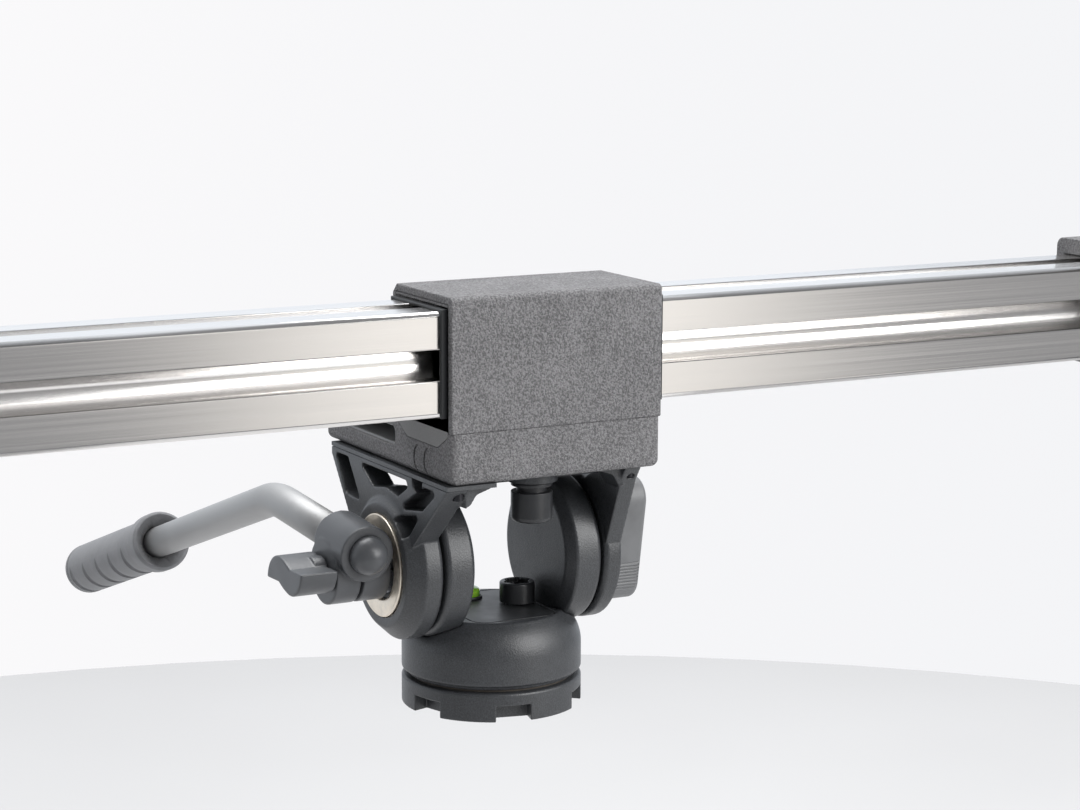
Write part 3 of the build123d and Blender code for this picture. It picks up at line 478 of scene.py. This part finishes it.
FINISHES = {
    Slot.RAIL: DrawnAluminium("drawn_aluminium", (0.84, 0.82, 0.80)),
    Slot.NYLON: SinteredNylon("sintered_nylon", (0.165, 0.163, 0.167)),
    Slot.SEAT: SinteredNylon("sintered_seat", (0.20, 0.20, 0.20), grain_mm=0.5, contrast=0.14,
                             relief_mm=0.05),
    Slot.GLIDE: MouldedPlastic("glide_liner", (0.010, 0.011, 0.013), roughness=0.5),
    Slot.HEAD: TexturedCoat("textured_coat", (0.028, 0.030, 0.033), roughness=0.40),
    Slot.COVER: MouldedPlastic("cover_plastic", (0.022, 0.023, 0.025), roughness=0.4),
    Slot.KNOB: MouldedPlastic("knob_plastic", (0.020, 0.021, 0.023), roughness=0.34),
    Slot.CLAMP: MouldedPlastic("clamp_plastic", (0.062, 0.065, 0.070), roughness=0.36, relief_mm=0.03),
    Slot.DRAG: MouldedPlastic("lever_plastic", (0.135, 0.138, 0.142), roughness=0.42, relief_mm=0.03),
    Slot.RING: TurnedMetal("turned_ring", (0.80, 0.72, 0.61), roughness=0.36),
    Slot.TUBE: SatinMetal("satin_tube", (0.34, 0.34, 0.34), roughness=0.48, metallic=0.6),
    Slot.GRIP: GripRubber("grip_rubber", (0.165, 0.168, 0.176)),
    Slot.LEVEL: LevelLiquid("level_liquid", (0.30, 0.62, 0.05)),
    Slot.BLACK_SCREW: SatinMetal("black_screw", (0.05, 0.05, 0.055), roughness=0.35),
    Slot.STEEL: SatinMetal("bright_steel", (0.62, 0.62, 0.63), roughness=0.25),
    Slot.BRONZE: SatinMetal("bush_bronze", (0.62, 0.42, 0.22), roughness=0.35),
    Slot.BRASS: SatinMetal("insert_brass", (0.72, 0.55, 0.27), roughness=0.3),
    Slot.LINING: GripRubber("friction_lining", (0.10, 0.085, 0.07)),
}


class Paintshop:
    """Makes each finish's material once and hands it out."""

    def __init__(self) -> None:
        """Start with no material made."""
        self.made: dict[Slot, bpy.types.Material] = {}

    def material(self, slot: Slot) -> bpy.types.Material:
        """Material of a slot, made on first use."""
        if slot not in self.made:
            self.made[slot] = FINISHES[slot].material()
        return self.made[slot]

    def dress(self, piece: bpy.types.Object, slot: Slot) -> None:
        """Give a piece one material all over."""
        piece.data.materials.clear()
        piece.data.materials.append(self.material(slot))

    def dress_nodes(self) -> None:
        """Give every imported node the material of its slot."""
        for row in frame["record"]["subparts"]:
            self.dress(frame["nodes"][row["node"]], Slot(row["material_slot"]))


# ---- shaping ------------------------------------------------------------------------------------


def turned(outline: Outline, seat: Matrix, steps: int, ease_mm: float = 0.0) -> bmesh.types.BMesh:
    """Turn an outline on a lathe.

    Args:
        outline: Points of (radius, height) in millimetres, open with both ends on the axis, or
            with its first point again at the end for a ring.
        seat: Where the lathe's origin and Z axis go, in metres.
        steps: Facets round the axis.
        ease_mm: Length of the round at each corner of the outline.

    Returns:
        The turned mesh.
    """
    mesh = bmesh.new()
    ring = outline[0] == outline[-1]
    verts = [mesh.verts.new((radius * MM, 0.0, height * MM))
             for radius, height in (outline[:-1] if ring else outline)]
    for pair in zip(verts, verts[1:] + verts[:1] if ring else verts[1:]):
        mesh.edges.new(pair)
    if ease_mm:
        bmesh.ops.bevel(mesh, geom=verts if ring else verts[1:-1], offset=ease_mm * MM,
                        offset_type="OFFSET", segments=4, profile=0.5, affect="VERTICES",
                        clamp_overlap=True, material=-1)
    bmesh.ops.spin(mesh, geom=mesh.verts[:] + mesh.edges[:], cent=(0, 0, 0), axis=(0, 0, 1),
                   dvec=(0, 0, 0), angle=2 * math.pi, steps=steps, use_merge=True)
    bmesh.ops.remove_doubles(mesh, verts=mesh.verts, dist=0.0005 * MM)
    bmesh.ops.recalc_face_normals(mesh, faces=mesh.faces)
    mesh.transform(seat)
    return mesh


def drawn(outline: Outline, seat: Matrix, length_mm: float) -> bmesh.types.BMesh:
    """Draw an outline out into a bar.

    Args:
        outline: Points in millimetres in the seat's XY plane.
        seat: Where the outline's plane goes; the bar runs along its Z.
        length_mm: Length of the bar.

    Returns:
        The bar's mesh.
    """
    mesh = bmesh.new()
    start = mesh.faces.new([mesh.verts.new((x * MM, y * MM, 0.0)) for x, y in outline])
    moved = bmesh.ops.extrude_face_region(mesh, geom=[start], use_keep_orig=True)["geom"]
    verts = [item for item in moved if isinstance(item, bmesh.types.BMVert)]
    bmesh.ops.translate(mesh, verts=verts, vec=(0, 0, length_mm * MM))
    bmesh.ops.recalc_face_normals(mesh, faces=mesh.faces)
    mesh.transform(seat)
    return mesh


def seat_along_x(x_mm: float, y_mm: float, z_mm: float, sense: int = 1) -> Matrix:
    """Seat whose Z runs along +X, or -X for a negative sense, with its X axis along Y."""
    axes = Matrix(((0, 0, sense), (1, 0, 0), (0, sense, 0))).to_4x4()
    return Matrix.Translation(Vector((x_mm, y_mm, z_mm)) * MM) @ axes


def sharp_edges(mesh: bmesh.types.BMesh) -> list[bmesh.types.BMEdge]:
    """Edges whose two faces meet at more than the sharp angle."""
    return [edge for edge in mesh.edges if edge.is_manifold and edge.calc_face_angle(0.0) > SHARP_ANGLE]


def roomy(edge: bmesh.types.BMEdge, width: float) -> bool:
    """Whether both faces beside an edge are wide enough for a round of that width."""
    length = edge.calc_length()
    return all(face.calc_area() > ROOM_FOR_ROUND * width * length for face in edge.link_faces)


def eased(mesh: bmesh.types.BMesh, width_mm: float, segments: int = 3,
          edges: Iterable[bmesh.types.BMEdge] | None = None) -> bmesh.types.BMesh:
    """Round edges, all the sharp ones that have room unless some are named.

    Args:
        mesh: Mesh to change.
        width_mm: Width of the round.
        segments: Facets across the round.
        edges: The edges to round.

    Returns:
        The same mesh.
    """
    width = width_mm * MM
    chosen = [edge for edge in sharp_edges(mesh) if roomy(edge, width)] if edges is None else list(edges)
    bmesh.ops.bevel(mesh, geom=chosen, offset=width, offset_type="OFFSET", segments=segments, profile=0.5,
                    affect="EDGES", clamp_overlap=False, material=-1, loop_slide=True)
    return mesh


def cleaned(node: str) -> bmesh.types.BMesh:
    """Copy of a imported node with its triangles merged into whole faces."""
    mesh = bmesh.new()
    mesh.from_mesh(frame["nodes"][node].data)
    bmesh.ops.remove_doubles(mesh, verts=mesh.verts, dist=SAME_POINT_MM * MM)
    bmesh.ops.dissolve_limit(mesh, angle_limit=FLAT_ANGLE, verts=mesh.verts, edges=mesh.edges)
    return mesh


class Workshop:
    """Puts finished meshes into the scene."""

    def __init__(self, paint: Paintshop) -> None:
        """Remember the paint shop.

        Args:
            paint: Hands out the materials.
        """
        self.paint = paint

    def finish(self, mesh: bmesh.types.BMesh, name: str, body: Body, slot: Slot,
               *nodes: str) -> bpy.types.Object:
        """Make a piece from a mesh, dress it and let it ride.

        Args:
            mesh: Mesh with its place in it; it is freed.
            name: Name of the piece.
            body: Body that it moves with.
            slot: Its finish.
            nodes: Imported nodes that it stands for.

        Returns:
            The piece.
        """
        data = bpy.data.meshes.new(name)
        mesh.to_mesh(data)
        mesh.free()
        data.shade_smooth()
        piece = bpy.data.objects.new(name, data)
        bpy.context.scene.collection.objects.link(piece)
        flats = piece.modifiers.new("flat_faces_stay_flat", "WEIGHTED_NORMAL")
        flats.mode = "FACE_AREA"
        flats.weight = 50
        self.paint.dress(piece, slot)
        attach(piece, body.value)
        if nodes:
            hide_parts(*nodes)
        log.info("%s: %d faces on %s", name, len(data.polygons), body.value)
        return piece

    def soften(self, node: str, body: Body, slot: Slot, width_mm: float, segments: int = 3) -> None:
        """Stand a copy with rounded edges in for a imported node."""
        self.finish(eased(cleaned(node), width_mm, segments), node + "_eased", body, slot, node)

    def cast(self, node: str, body: Body, slot: Slot, cell_mm: float, passes: int = 6,
             keep: float = 0.5) -> None:
        """Stand a cast-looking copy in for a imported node, its edges and inner corners run soft.

        Args:
            node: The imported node.
            body: Body that it moves with.
            slot: Its finish.
            cell_mm: Size of the mesh's cells.
            passes: Smoothing passes; each rounds the corners by about a third of a cell.
            keep: Share of the faces kept where the surface is plain.
        """
        piece = self.finish(cleaned(node), node + "_cast", body, slot, node)
        piece.modifiers.clear()
        skin = piece.modifiers.new("even_skin", "REMESH")
        skin.mode = "VOXEL"
        skin.voxel_size = cell_mm * MM
        skin.use_smooth_shade = True
        run = piece.modifiers.new("soft_corners", "SMOOTH")
        run.factor = 0.5
        run.iterations = passes
        thin = piece.modifiers.new("fewer_faces", "DECIMATE")
        thin.decimate_type = "COLLAPSE"
        thin.ratio = keep


# ---- sub-assemblies -----------------------------------------------------------------------------


@dataclass
class RailAssembly:
    """Slotted rail with a printed camera mount over each end."""

    shop: Workshop
    corner_mm: float = 2.0
    channel_mm: float = 11.7
    channel_deep_mm: float = 10.5
    lip_mm: float = 0.45
    mount_edge_mm: float = 0.6

    def build(self) -> None:
        """Make the rail and its end mounts."""
        self.rail()
        for side in ("left", "right"):
            self.shop.soften("end_mount_" + side, Body.RAIL, Slot.NYLON, self.mount_edge_mm)

    def rail(self) -> None:
        """Square bar with an open channel on each face, its corners and lips rounded."""
        low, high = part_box("rail")
        middle = (low + high) / 2 / MM
        half = (high.z - low.z) / 2 / MM
        mouth, floor = self.channel_mm / 2, half - self.channel_deep_mm
        corner = [(floor, mouth), (half, mouth), (half, half), (mouth, half), (mouth, floor)]
        outline = [self.quarter(point, turn) for turn in range(4) for point in corner]
        mesh = drawn(outline, seat_along_x(low.x / MM, middle.y, middle.z), (high.x - low.x) / MM)
        along = [edge for edge in mesh.edges if edge.calc_length() > 0.9 * (high.x - low.x)]
        centre = Vector((0, middle.y, middle.z)) * MM
        reach = {edge: self.reach(edge, centre) / MM for edge in along}
        corners = [edge for edge in along if reach[edge] > 1.3 * half]
        lips = [edge for edge in along if half < reach[edge] <= 1.3 * half]
        eased(mesh, self.lip_mm, 3, lips)
        eased(mesh, self.corner_mm, 8, [edge for edge in corners if edge.is_valid])
        self.shop.finish(mesh, "rail_bar", Body.RAIL, Slot.RAIL, "rail")

    @staticmethod
    def quarter(point: tuple[float, float], turn: int) -> tuple[float, float]:
        """Turn a point about the origin by a number of right angles."""
        x, y = point
        for _ in range(turn):
            x, y = -y, x
        return x, y

    @staticmethod
    def reach(edge: bmesh.types.BMEdge, centre: Vector) -> float:
        """Distance of a lengthwise edge from the rail's centre line."""
        middle = (edge.verts[0].co + edge.verts[1].co) / 2 - centre
        return math.hypot(middle.y, middle.z)


@dataclass
class CarriageBlock:
    """Printed hood and lower block round the rail, with the glide seat and liner."""

    shop: Workshop
    hood_edge_mm: float = 0.6
    block_edge_mm: float = 0.3
    seat_edge_mm: float = 0.15
    liner_edge_mm: float = 0.3

    def build(self) -> None:
        """Make the block's four printed pieces."""
        self.shop.soften("hood", Body.CRADLE, Slot.NYLON, self.hood_edge_mm)
        self.shop.soften("lower_block", Body.CRADLE, Slot.NYLON, self.block_edge_mm)
        self.shop.soften("rail_seat", Body.CRADLE, Slot.SEAT, self.seat_edge_mm, 2)
        self.shop.soften("rail_liner", Body.CRADLE, Slot.GLIDE, self.liner_edge_mm, 2)


@dataclass
class PanBase:
    """Foot ring, cast housing and the fittings on its cover."""

    shop: Workshop
    edge_mm: float = 0.5
    knob_edge_mm: float = 0.35
    housing_cell_mm: float = 0.5
    level_wall_mm: float = 0.75
    level_gap_mm: float = 0.1
    dome_mm: float = 2.0

    def build(self) -> None:
        """Make the foot, the housing, the level and the lock knob."""
        self.shop.soften("base_ring", Body.BASE, Slot.HEAD, self.edge_mm)
        self.shop.cast("pan_housing", Body.PAN_HEAD, Slot.HEAD, self.housing_cell_mm, 5)
        self.shop.soften("pan_cover", Body.PAN_HEAD, Slot.COVER, self.edge_mm)
        self.level()
        self.shop.soften("lock_knob", Body.PAN_LOCK, Slot.KNOB, self.knob_edge_mm)

    def level(self) -> None:
        """Round level: a ring with chamfered lips and a domed capsule in it."""
        low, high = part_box("level_cup")
        middle, radius = (low + high) / 2 / MM, (high.x - low.x) / 2 / MM
        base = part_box("pan_cover")[1].z / MM
        rim = high.z / MM - base
        seat = Matrix.Translation(Vector((middle.x, middle.y, base)) * MM)
        bore = radius - self.level_wall_mm
        ring = [(radius, 0), (radius, rim - 0.3), (radius - 0.25, rim), (bore + 0.15, rim),
                (bore, rim - 0.3), (bore, self.level_gap_mm), (radius, 0)]
        self.shop.finish(turned(ring, seat, 64), "level_ring", Body.PAN_HEAD, Slot.COVER, "level_cup")
        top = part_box("level_vial")[1].z / MM - base
        bulge, spring = bore - self.level_gap_mm, top - self.dome_mm
        turns = [math.radians(degrees) for degrees in range(15, 90, 15)]
        dome = [(0, self.level_gap_mm), (bulge, self.level_gap_mm), (bulge, spring)]
        dome += [(bulge * math.cos(turn), spring + self.dome_mm * math.sin(turn)) for turn in turns]
        dome.append((0, top))
        self.shop.finish(turned(dome, seat, 48), "level_capsule", Body.PAN_HEAD, Slot.LEVEL, "level_vial")


@dataclass
class TiltHubs:
    """Two upright discs of the pan body, one each side, that carry the tilt bearings."""

    shop: Workshop
    face_step_mm: float = 5.0
    cone_mm: float = 3.0
    chamfer_mm: float = 1.4
    edge_mm: float = 0.9

    def build(self) -> None:
        """Make both hubs."""
        for side in Side:
            self.hub(side)

    def hub(self, side: Side) -> None:
        """Turn one hub: flat outer face, full rim and a cone to the smaller inner face."""
        node = "hub_" + side.name.lower()
        low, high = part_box(node)
        radius, thick = (high.z - low.z) / 2 / MM, (high.x - low.x) / MM
        middle = (low + high) / 2 / MM
        inner_x = (high.x if side is Side.LEFT else low.x) / MM
        face = radius - self.face_step_mm
        outline = [(0, 0), (face, 0), (radius, self.cone_mm), (radius, thick - self.chamfer_mm),
                   (radius - self.chamfer_mm, thick), (0, thick)]
        mesh = turned(outline, seat_along_x(inner_x, middle.y, middle.z, side.value), 144, self.edge_mm)
        self.shop.finish(mesh, node + "_disc", Body.PAN_HEAD, Slot.HEAD, node)


@dataclass
class Cradle:
    """Two ribbed arms, the platform on them, the turned ring and the plate screw's knob."""

    shop: Workshop
    arm_cell_mm: float = 0.5
    knob_edge_mm: float = 0.3
    ring_bore_mm: float = 13.6

    def build(self) -> None:
        """Make the cradle's pieces."""
        for side in ("left", "right"):
            self.shop.cast("arm_" + side, Body.CRADLE, Slot.HEAD, self.arm_cell_mm)
        self.ring()
        self.shop.soften("screw_knob", Body.PLATE_SCREW, Slot.KNOB, self.knob_edge_mm)

    def ring(self) -> None:
        """Turned ring in the left arm: a broad face, a step at its rim and a chamfered bore."""
        low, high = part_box("rosette_ring")
        middle, outer = (low + high) / 2 / MM, (high.z - low.z) / 2 / MM
        thick = (high.x - low.x) / MM
        bore = self.ring_bore_mm
        outline = [(bore, 0), (outer, 0), (outer, thick - 0.4), (outer - 0.3, thick - 0.1),
                   (outer - 1.1, thick - 0.1), (outer - 1.25, thick - 0.22), (outer - 1.4, thick),
                   (bore + 1.5, thick), (bore + 1.25, thick - 0.15), (bore + 0.5, thick - 0.15),
                   (bore, thick - 0.6), (bore, 0)]
        seat = seat_along_x(high.x / MM, middle.y, middle.z, -1)
        mesh = turned(outline, seat, 160)
        self.shop.finish(mesh, "turned_ring", Body.CRADLE, Slot.RING, "rosette_ring")


@dataclass
class PanHandle:
    """Split clamp on the tilt axis, bent tube, rubber grip and wing knob."""

    shop: Workshop
    socket_front_mm: float = -17.0
    bend_y_mm: float = 72.5
    bend_radius_mm: float = 50.0
    first_slope: float = 3.6
    second_slope: float = -18.6
    second_run_mm: float = 163.0
    tube_mm: float = 7.0
    tube_inside_mm: float = 8.0
    dome_mm: float = 7.6
    dome_lift_mm: float = 1.2
    plug_depth_mm: float = 6.5
    clamp_cell_mm: float = 0.4
    wing_cell_mm: float = 0.3
    grip_edge_mm: float = 0.6

    def build(self) -> None:
        """Make the handle's pieces."""
        self.shop.cast("handle_clamp", Body.HANDLE, Slot.CLAMP, self.clamp_cell_mm, 8)
        self.dome()
        self.tube()
        self.shop.soften("handle_grip", Body.HANDLE, Slot.GRIP, self.grip_edge_mm)
        self.shop.cast("wing_knob", Body.WING, Slot.CLAMP, self.wing_cell_mm, 8)

    def axis_height(self, y_mm: float) -> float:
        """Height of the tube's first run over a given y, in millimetres."""
        low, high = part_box("tube_plug")
        start = (low + high) / 2 / MM
        return start.z + (y_mm - start.y) * math.tan(math.radians(self.first_slope))

    def middle_x(self) -> float:
        """Plane of the handle, in millimetres."""
        low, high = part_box("handle_tube")
        return (low.x + high.x) / 2 / MM

    def run_seat(self, y_mm: float, z_mm: float, slope: float) -> Matrix:
        """Seat on a run of the tube, with Z back along it."""
        turn = Matrix.Rotation(math.radians(-90 + slope), 4, "X")
        return Matrix.Translation(Vector((self.middle_x(), y_mm, z_mm)) * MM) @ turn

    def dome(self) -> None:
        """Domed plug in the socket's front mouth, with a narrow neck behind the dome."""
        y = self.socket_front_mm
        radius, rise = self.dome_mm, self.dome_mm - 0.4
        turns = [math.radians(degrees) for degrees in range(75, -1, -15)]
        arc = [(radius * math.cos(turn), -self.dome_lift_mm - rise * math.sin(turn)) for turn in turns]
        neck = [(radius, -0.3), (self.tube_mm, 0.2), (self.tube_mm, self.plug_depth_mm),
                (0, self.plug_depth_mm)]
        outline = [(0, -self.dome_lift_mm - rise)] + arc + neck
        mesh = turned(outline, self.run_seat(y, self.axis_height(y), self.first_slope), 64)
        self.shop.finish(mesh, "socket_dome", Body.HANDLE, Slot.CLAMP, "tube_plug")

    def tube(self) -> None:
        """Round tube: a straight run, a bend about a cross axis and a second straight run."""
        first, second = math.radians(self.first_slope), math.radians(self.second_slope)
        bend = Vector((self.middle_x(), self.bend_y_mm, self.axis_height(self.bend_y_mm)))
        turn = first - second
        lead = self.bend_radius_mm * math.tan(turn / 2)
        ahead = Vector((0, math.cos(first), math.sin(first)))
        down = Vector((0, math.sin(first), -math.cos(first)))
        start_y = self.socket_front_mm + self.tube_inside_mm
        start = Vector((self.middle_x(), start_y, self.axis_height(start_y)))
        arc_start = bend - ahead * lead
        mesh = bmesh.new()
        bmesh.ops.create_circle(mesh, cap_ends=False, radius=self.tube_mm * MM, segments=64)
        mesh.transform(self.run_seat(start.y, start.z, self.first_slope))
        ring = self.push(mesh, mesh.edges[:], (arc_start - start) * MM)
        centre = (arc_start + down * self.bend_radius_mm) * MM
        bent = bmesh.ops.spin(mesh, geom=ring, cent=centre, axis=(1, 0, 0), dvec=(0, 0, 0),
                              angle=-turn, steps=16)
        last = [item for item in bent["geom_last"] if isinstance(item, bmesh.types.BMEdge)]
        run = Vector((0, math.cos(second), math.sin(second)))
        self.push(mesh, last, run * (self.second_run_mm - lead) * MM)
        bmesh.ops.remove_doubles(mesh, verts=mesh.verts, dist=0.001 * MM)
        bmesh.ops.holes_fill(mesh, edges=[edge for edge in mesh.edges if edge.is_boundary], sides=0)
        bmesh.ops.recalc_face_normals(mesh, faces=mesh.faces)
        self.shop.finish(mesh, "bent_tube", Body.HANDLE, Slot.TUBE, "handle_tube")

    @staticmethod
    def push(mesh: bmesh.types.BMesh, ring: list[bmesh.types.BMEdge],
             step: Vector) -> list[bmesh.types.BMEdge]:
        """Extrude a ring of edges by a step and return the new ring."""
        made = bmesh.ops.extrude_edge_only(mesh, edges=ring)["geom"]
        verts = {item for item in made if isinstance(item, bmesh.types.BMVert)}
        bmesh.ops.translate(mesh, verts=list(verts), vec=step)
        return [item for item in made
                if isinstance(item, bmesh.types.BMEdge) and set(item.verts) <= verts]


@dataclass
class DragKnob:
    """Two-winged tilt-drag knob outside the right arm."""

    shop: Workshop
    edge_mm: float = 0.8

    def build(self) -> None:
        """Make the knob."""
        self.shop.soften("drag_knob", Body.DRAG, Slot.DRAG, self.edge_mm)


# ---- studio -------------------------------------------------------------------------------------


@dataclass(frozen=True)
class Softbox:
    """Square area light that faces a point; places and sizes are in metres."""

    name: str
    place: tuple[float, float, float]
    target: tuple[float, float, float]
    size: float
    watts: float

    def build(self) -> None:
        """Make the light."""
        data = bpy.data.lights.new(self.name, "AREA")
        data.shape = "SQUARE"
        data.size = self.size
        data.energy = self.watts
        light = bpy.data.objects.new(self.name, data)
        bpy.context.scene.collection.objects.link(light)
        place = Vector(self.place)
        facing = (Vector(self.target) - place).to_track_quat("-Z", "Y")
        light.matrix_world = Matrix.Translation(place) @ facing.to_matrix().to_4x4()
        log.info("%s of %.0f watts", self.name, self.watts)


@dataclass
class Studio:
    """Pale floor, soft lights, a pale surround and the camera."""

    camera_mm: tuple[float, float, float] = (-490.1, -953.1, 308.0)
    yaw: float = 28.24
    pitch: float = 9.97
    roll: float = 0.21
    lens: float = 91.73
    floor_z: float = -0.32
    floor_radius: float = 1.25
    floor_dark: tuple[float, float, float] = (0.52, 0.52, 0.522)
    floor_light: tuple[float, float, float] = (0.54, 0.54, 0.542)
    seen_left: tuple[float, float, float] = (1.0, 0.985, 0.99)
    seen_right: tuple[float, float, float] = (0.90, 0.905, 0.925)
    right: tuple[float, float, float] = (0.95, 0.31, -0.1)
    room_front: tuple[float, float, float] = (0.26, 0.265, 0.275)
    room_back: tuple[float, float, float] = (0.90, 0.95, 1.02)
    fill_front: tuple[float, float, float] = (0.40, 0.40, 0.41)
    fill_back: tuple[float, float, float] = (0.62, 0.64, 0.68)
    card_colour: tuple[float, float, float] = (1.12, 1.09, 1.05)
    card_azimuth: float = 27.0
    card_drop: float = 8.0
    card_edge: float = 17.0
    card_core: float = 5.0
    lights: Sequence[Softbox] = (
        Softbox("overhead_softbox", (0.0, 0.45, 2.1), (0, -0.03, 0.12), 1.8, 66.0),
        Softbox("front_right_softbox", (0.85, -1.35, 0.85), (0, 0, 0.08), 1.3, 36.0))

    def build(self) -> None:
        """Make everything that isn't the object."""
        bpy.context.scene.view_settings.view_transform = "Standard"
        self.camera()
        self.floor()
        self.surround()
        for light in self.lights:
            light.build()

    def camera(self) -> None:
        """Camera in front of the left side, a little above the rail."""
        data = bpy.data.cameras.new("show_camera")
        data.sensor_fit = "HORIZONTAL"
        data.sensor_width = 36.0
        data.lens = self.lens
        data.clip_end = 50.0
        camera = bpy.data.objects.new("show_camera", data)
        bpy.context.scene.collection.objects.link(camera)
        camera.matrix_world = (Matrix.Translation(Vector(self.camera_mm) * MM)
                               @ Matrix.Rotation(math.radians(-self.yaw), 4, "Z")
                               @ Matrix.Rotation(math.radians(90 - self.pitch), 4, "X")
                               @ Matrix.Rotation(math.radians(self.roll), 4, "Z"))
        bpy.context.scene.camera = camera

    def floor(self) -> None:
        """Round pale floor well below the part."""
        mesh = bmesh.new()
        bmesh.ops.create_circle(mesh, cap_ends=True, radius=self.floor_radius, segments=96)
        bmesh.ops.translate(mesh, verts=mesh.verts, vec=(0, 0, self.floor_z))
        data = bpy.data.meshes.new("studio_floor")
        mesh.to_mesh(data)
        mesh.free()
        floor = bpy.data.objects.new("studio_floor", data)
        bpy.context.scene.collection.objects.link(floor)
        bench = NodeBench("pale_floor")
        tone = bench.remap(bench.noise(bench.place(), 3.0, 2.0), 0.3, 0.7, 0.0, 1.0)
        bench.join(bench.blend(tone, self.floor_dark, self.floor_light), "Base Color")
        bench.set(Roughness=0.9, Specular_IOR_Level=0.1)
        data.materials.append(bench.material)

    def surround(self) -> None:
        """Pale surround: plain to the eye, and a room with one bright card for metal to reflect."""
        world = bpy.data.worlds.new("pale_surround")
        bpy.context.scene.world = world
        world.use_nodes = True
        tree = world.node_tree
        tree.nodes.clear()
        direction = tree.nodes.new("ShaderNodeTexCoord").outputs["Generated"]
        rays = tree.nodes.new("ShaderNodeLightPath")
        behind = self.toward(tree, direction, (0.0, 1.0, 0.0), 100.0, 62.0)
        room = self.tint(tree, behind, self.room_front, self.room_back)
        card_side, card_tilt = math.radians(self.card_azimuth), math.radians(self.card_drop)
        card_at = (math.sin(card_side) * math.cos(card_tilt), -math.cos(card_side) * math.cos(card_tilt),
                   -math.sin(card_tilt))
        card = self.toward(tree, direction, card_at, self.card_edge, self.card_core)
        mirrored = self.tint(tree, card, None, self.card_colour, room)
        beside = self.toward(tree, direction, self.right, 75.0, 20.0)
        seen = self.tint(tree, beside, self.seen_left, self.seen_right)
        soft = self.tint(tree, behind, self.fill_front, self.fill_back)
        inside = self.either(tree, rays.outputs["Is Diffuse Ray"], mirrored, soft)
        colour = self.either(tree, rays.outputs["Is Camera Ray"], inside, seen)
        light = tree.nodes.new("ShaderNodeBackground")
        output = tree.nodes.new("ShaderNodeOutputWorld")
        tree.links.new(colour, light.inputs["Color"])
        tree.links.new(light.outputs["Background"], output.inputs["Surface"])

    @staticmethod
    def toward(tree: bpy.types.NodeTree, direction: bpy.types.NodeSocket, centre: Sequence[float],
               edge: float, core: float) -> bpy.types.NodeSocket:
        """Value that rises softly from 0 to 1 toward one direction of the surround.

        Args:
            tree: The surround's nodes.
            direction: Direction socket.
            centre: The direction's unit vector.
            edge: Degrees from it at which the rise begins.
            core: Degrees from it within which the value is 1.

        Returns:
            The value socket.
        """
        dot = tree.nodes.new("ShaderNodeVectorMath")
        dot.operation = "DOT_PRODUCT"
        dot.inputs[1].default_value = centre
        tree.links.new(direction, dot.inputs[0])
        ramp = tree.nodes.new("ShaderNodeMapRange")
        ramp.interpolation_type = "SMOOTHSTEP"
        ramp.inputs["From Min"].default_value = math.cos(math.radians(edge))
        ramp.inputs["From Max"].default_value = math.cos(math.radians(core))
        ramp.inputs["To Min"].default_value = 0.0
        ramp.inputs["To Max"].default_value = 1.0
        tree.links.new(dot.outputs["Value"], ramp.inputs["Value"])
        return ramp.outputs["Result"]

    @staticmethod
    def tint(tree: bpy.types.NodeTree, factor: bpy.types.NodeSocket, first: Sequence[float] | None,
             second: Sequence[float], under: bpy.types.NodeSocket | None = None) -> bpy.types.NodeSocket:
        """Colour between two, by a factor.

        Args:
            tree: The surround's nodes.
            factor: Socket of the share of the second colour.
            first: First colour, or None where a socket gives it.
            second: Second colour.
            under: Socket of the first colour.

        Returns:
            The colour socket.
        """
        node = tree.nodes.new("ShaderNodeMix")
        node.data_type = "RGBA"
        tree.links.new(factor, node.inputs["Factor"])
        if under is None:
            node.inputs["A"].default_value = (*first, 1.0)
        else:
            tree.links.new(under, node.inputs["A"])
        node.inputs["B"].default_value = (*second, 1.0)
        return next(socket for socket in node.outputs if socket.type == "RGBA")

    @staticmethod
    def either(tree: bpy.types.NodeTree, switch: bpy.types.NodeSocket, off: bpy.types.NodeSocket,
               on: bpy.types.NodeSocket) -> bpy.types.NodeSocket:
        """One colour socket or the other, by a switch."""
        node = tree.nodes.new("ShaderNodeMix")
        node.data_type = "RGBA"
        tree.links.new(switch, node.inputs["Factor"])
        tree.links.new(off, node.inputs["A"])
        tree.links.new(on, node.inputs["B"])
        return next(socket for socket in node.outputs if socket.type == "RGBA")


def main() -> None:
    """Build the sub-assemblies, dress them and set up the studio."""
    logging.basicConfig(level=logging.INFO, format="%(name)s %(message)s")
    paint = Paintshop()
    paint.dress_nodes()
    shop = Workshop(paint)
    assemblies: list[Callable[[], None]] = [
        Studio().build, RailAssembly(shop).build, CarriageBlock(shop).build, PanBase(shop).build,
        TiltHubs(shop).build, Cradle(shop).build, PanHandle(shop).build, DragKnob(shop).build]
    for build in assemblies:
        build()


if __name__ == "__main__":
    main()
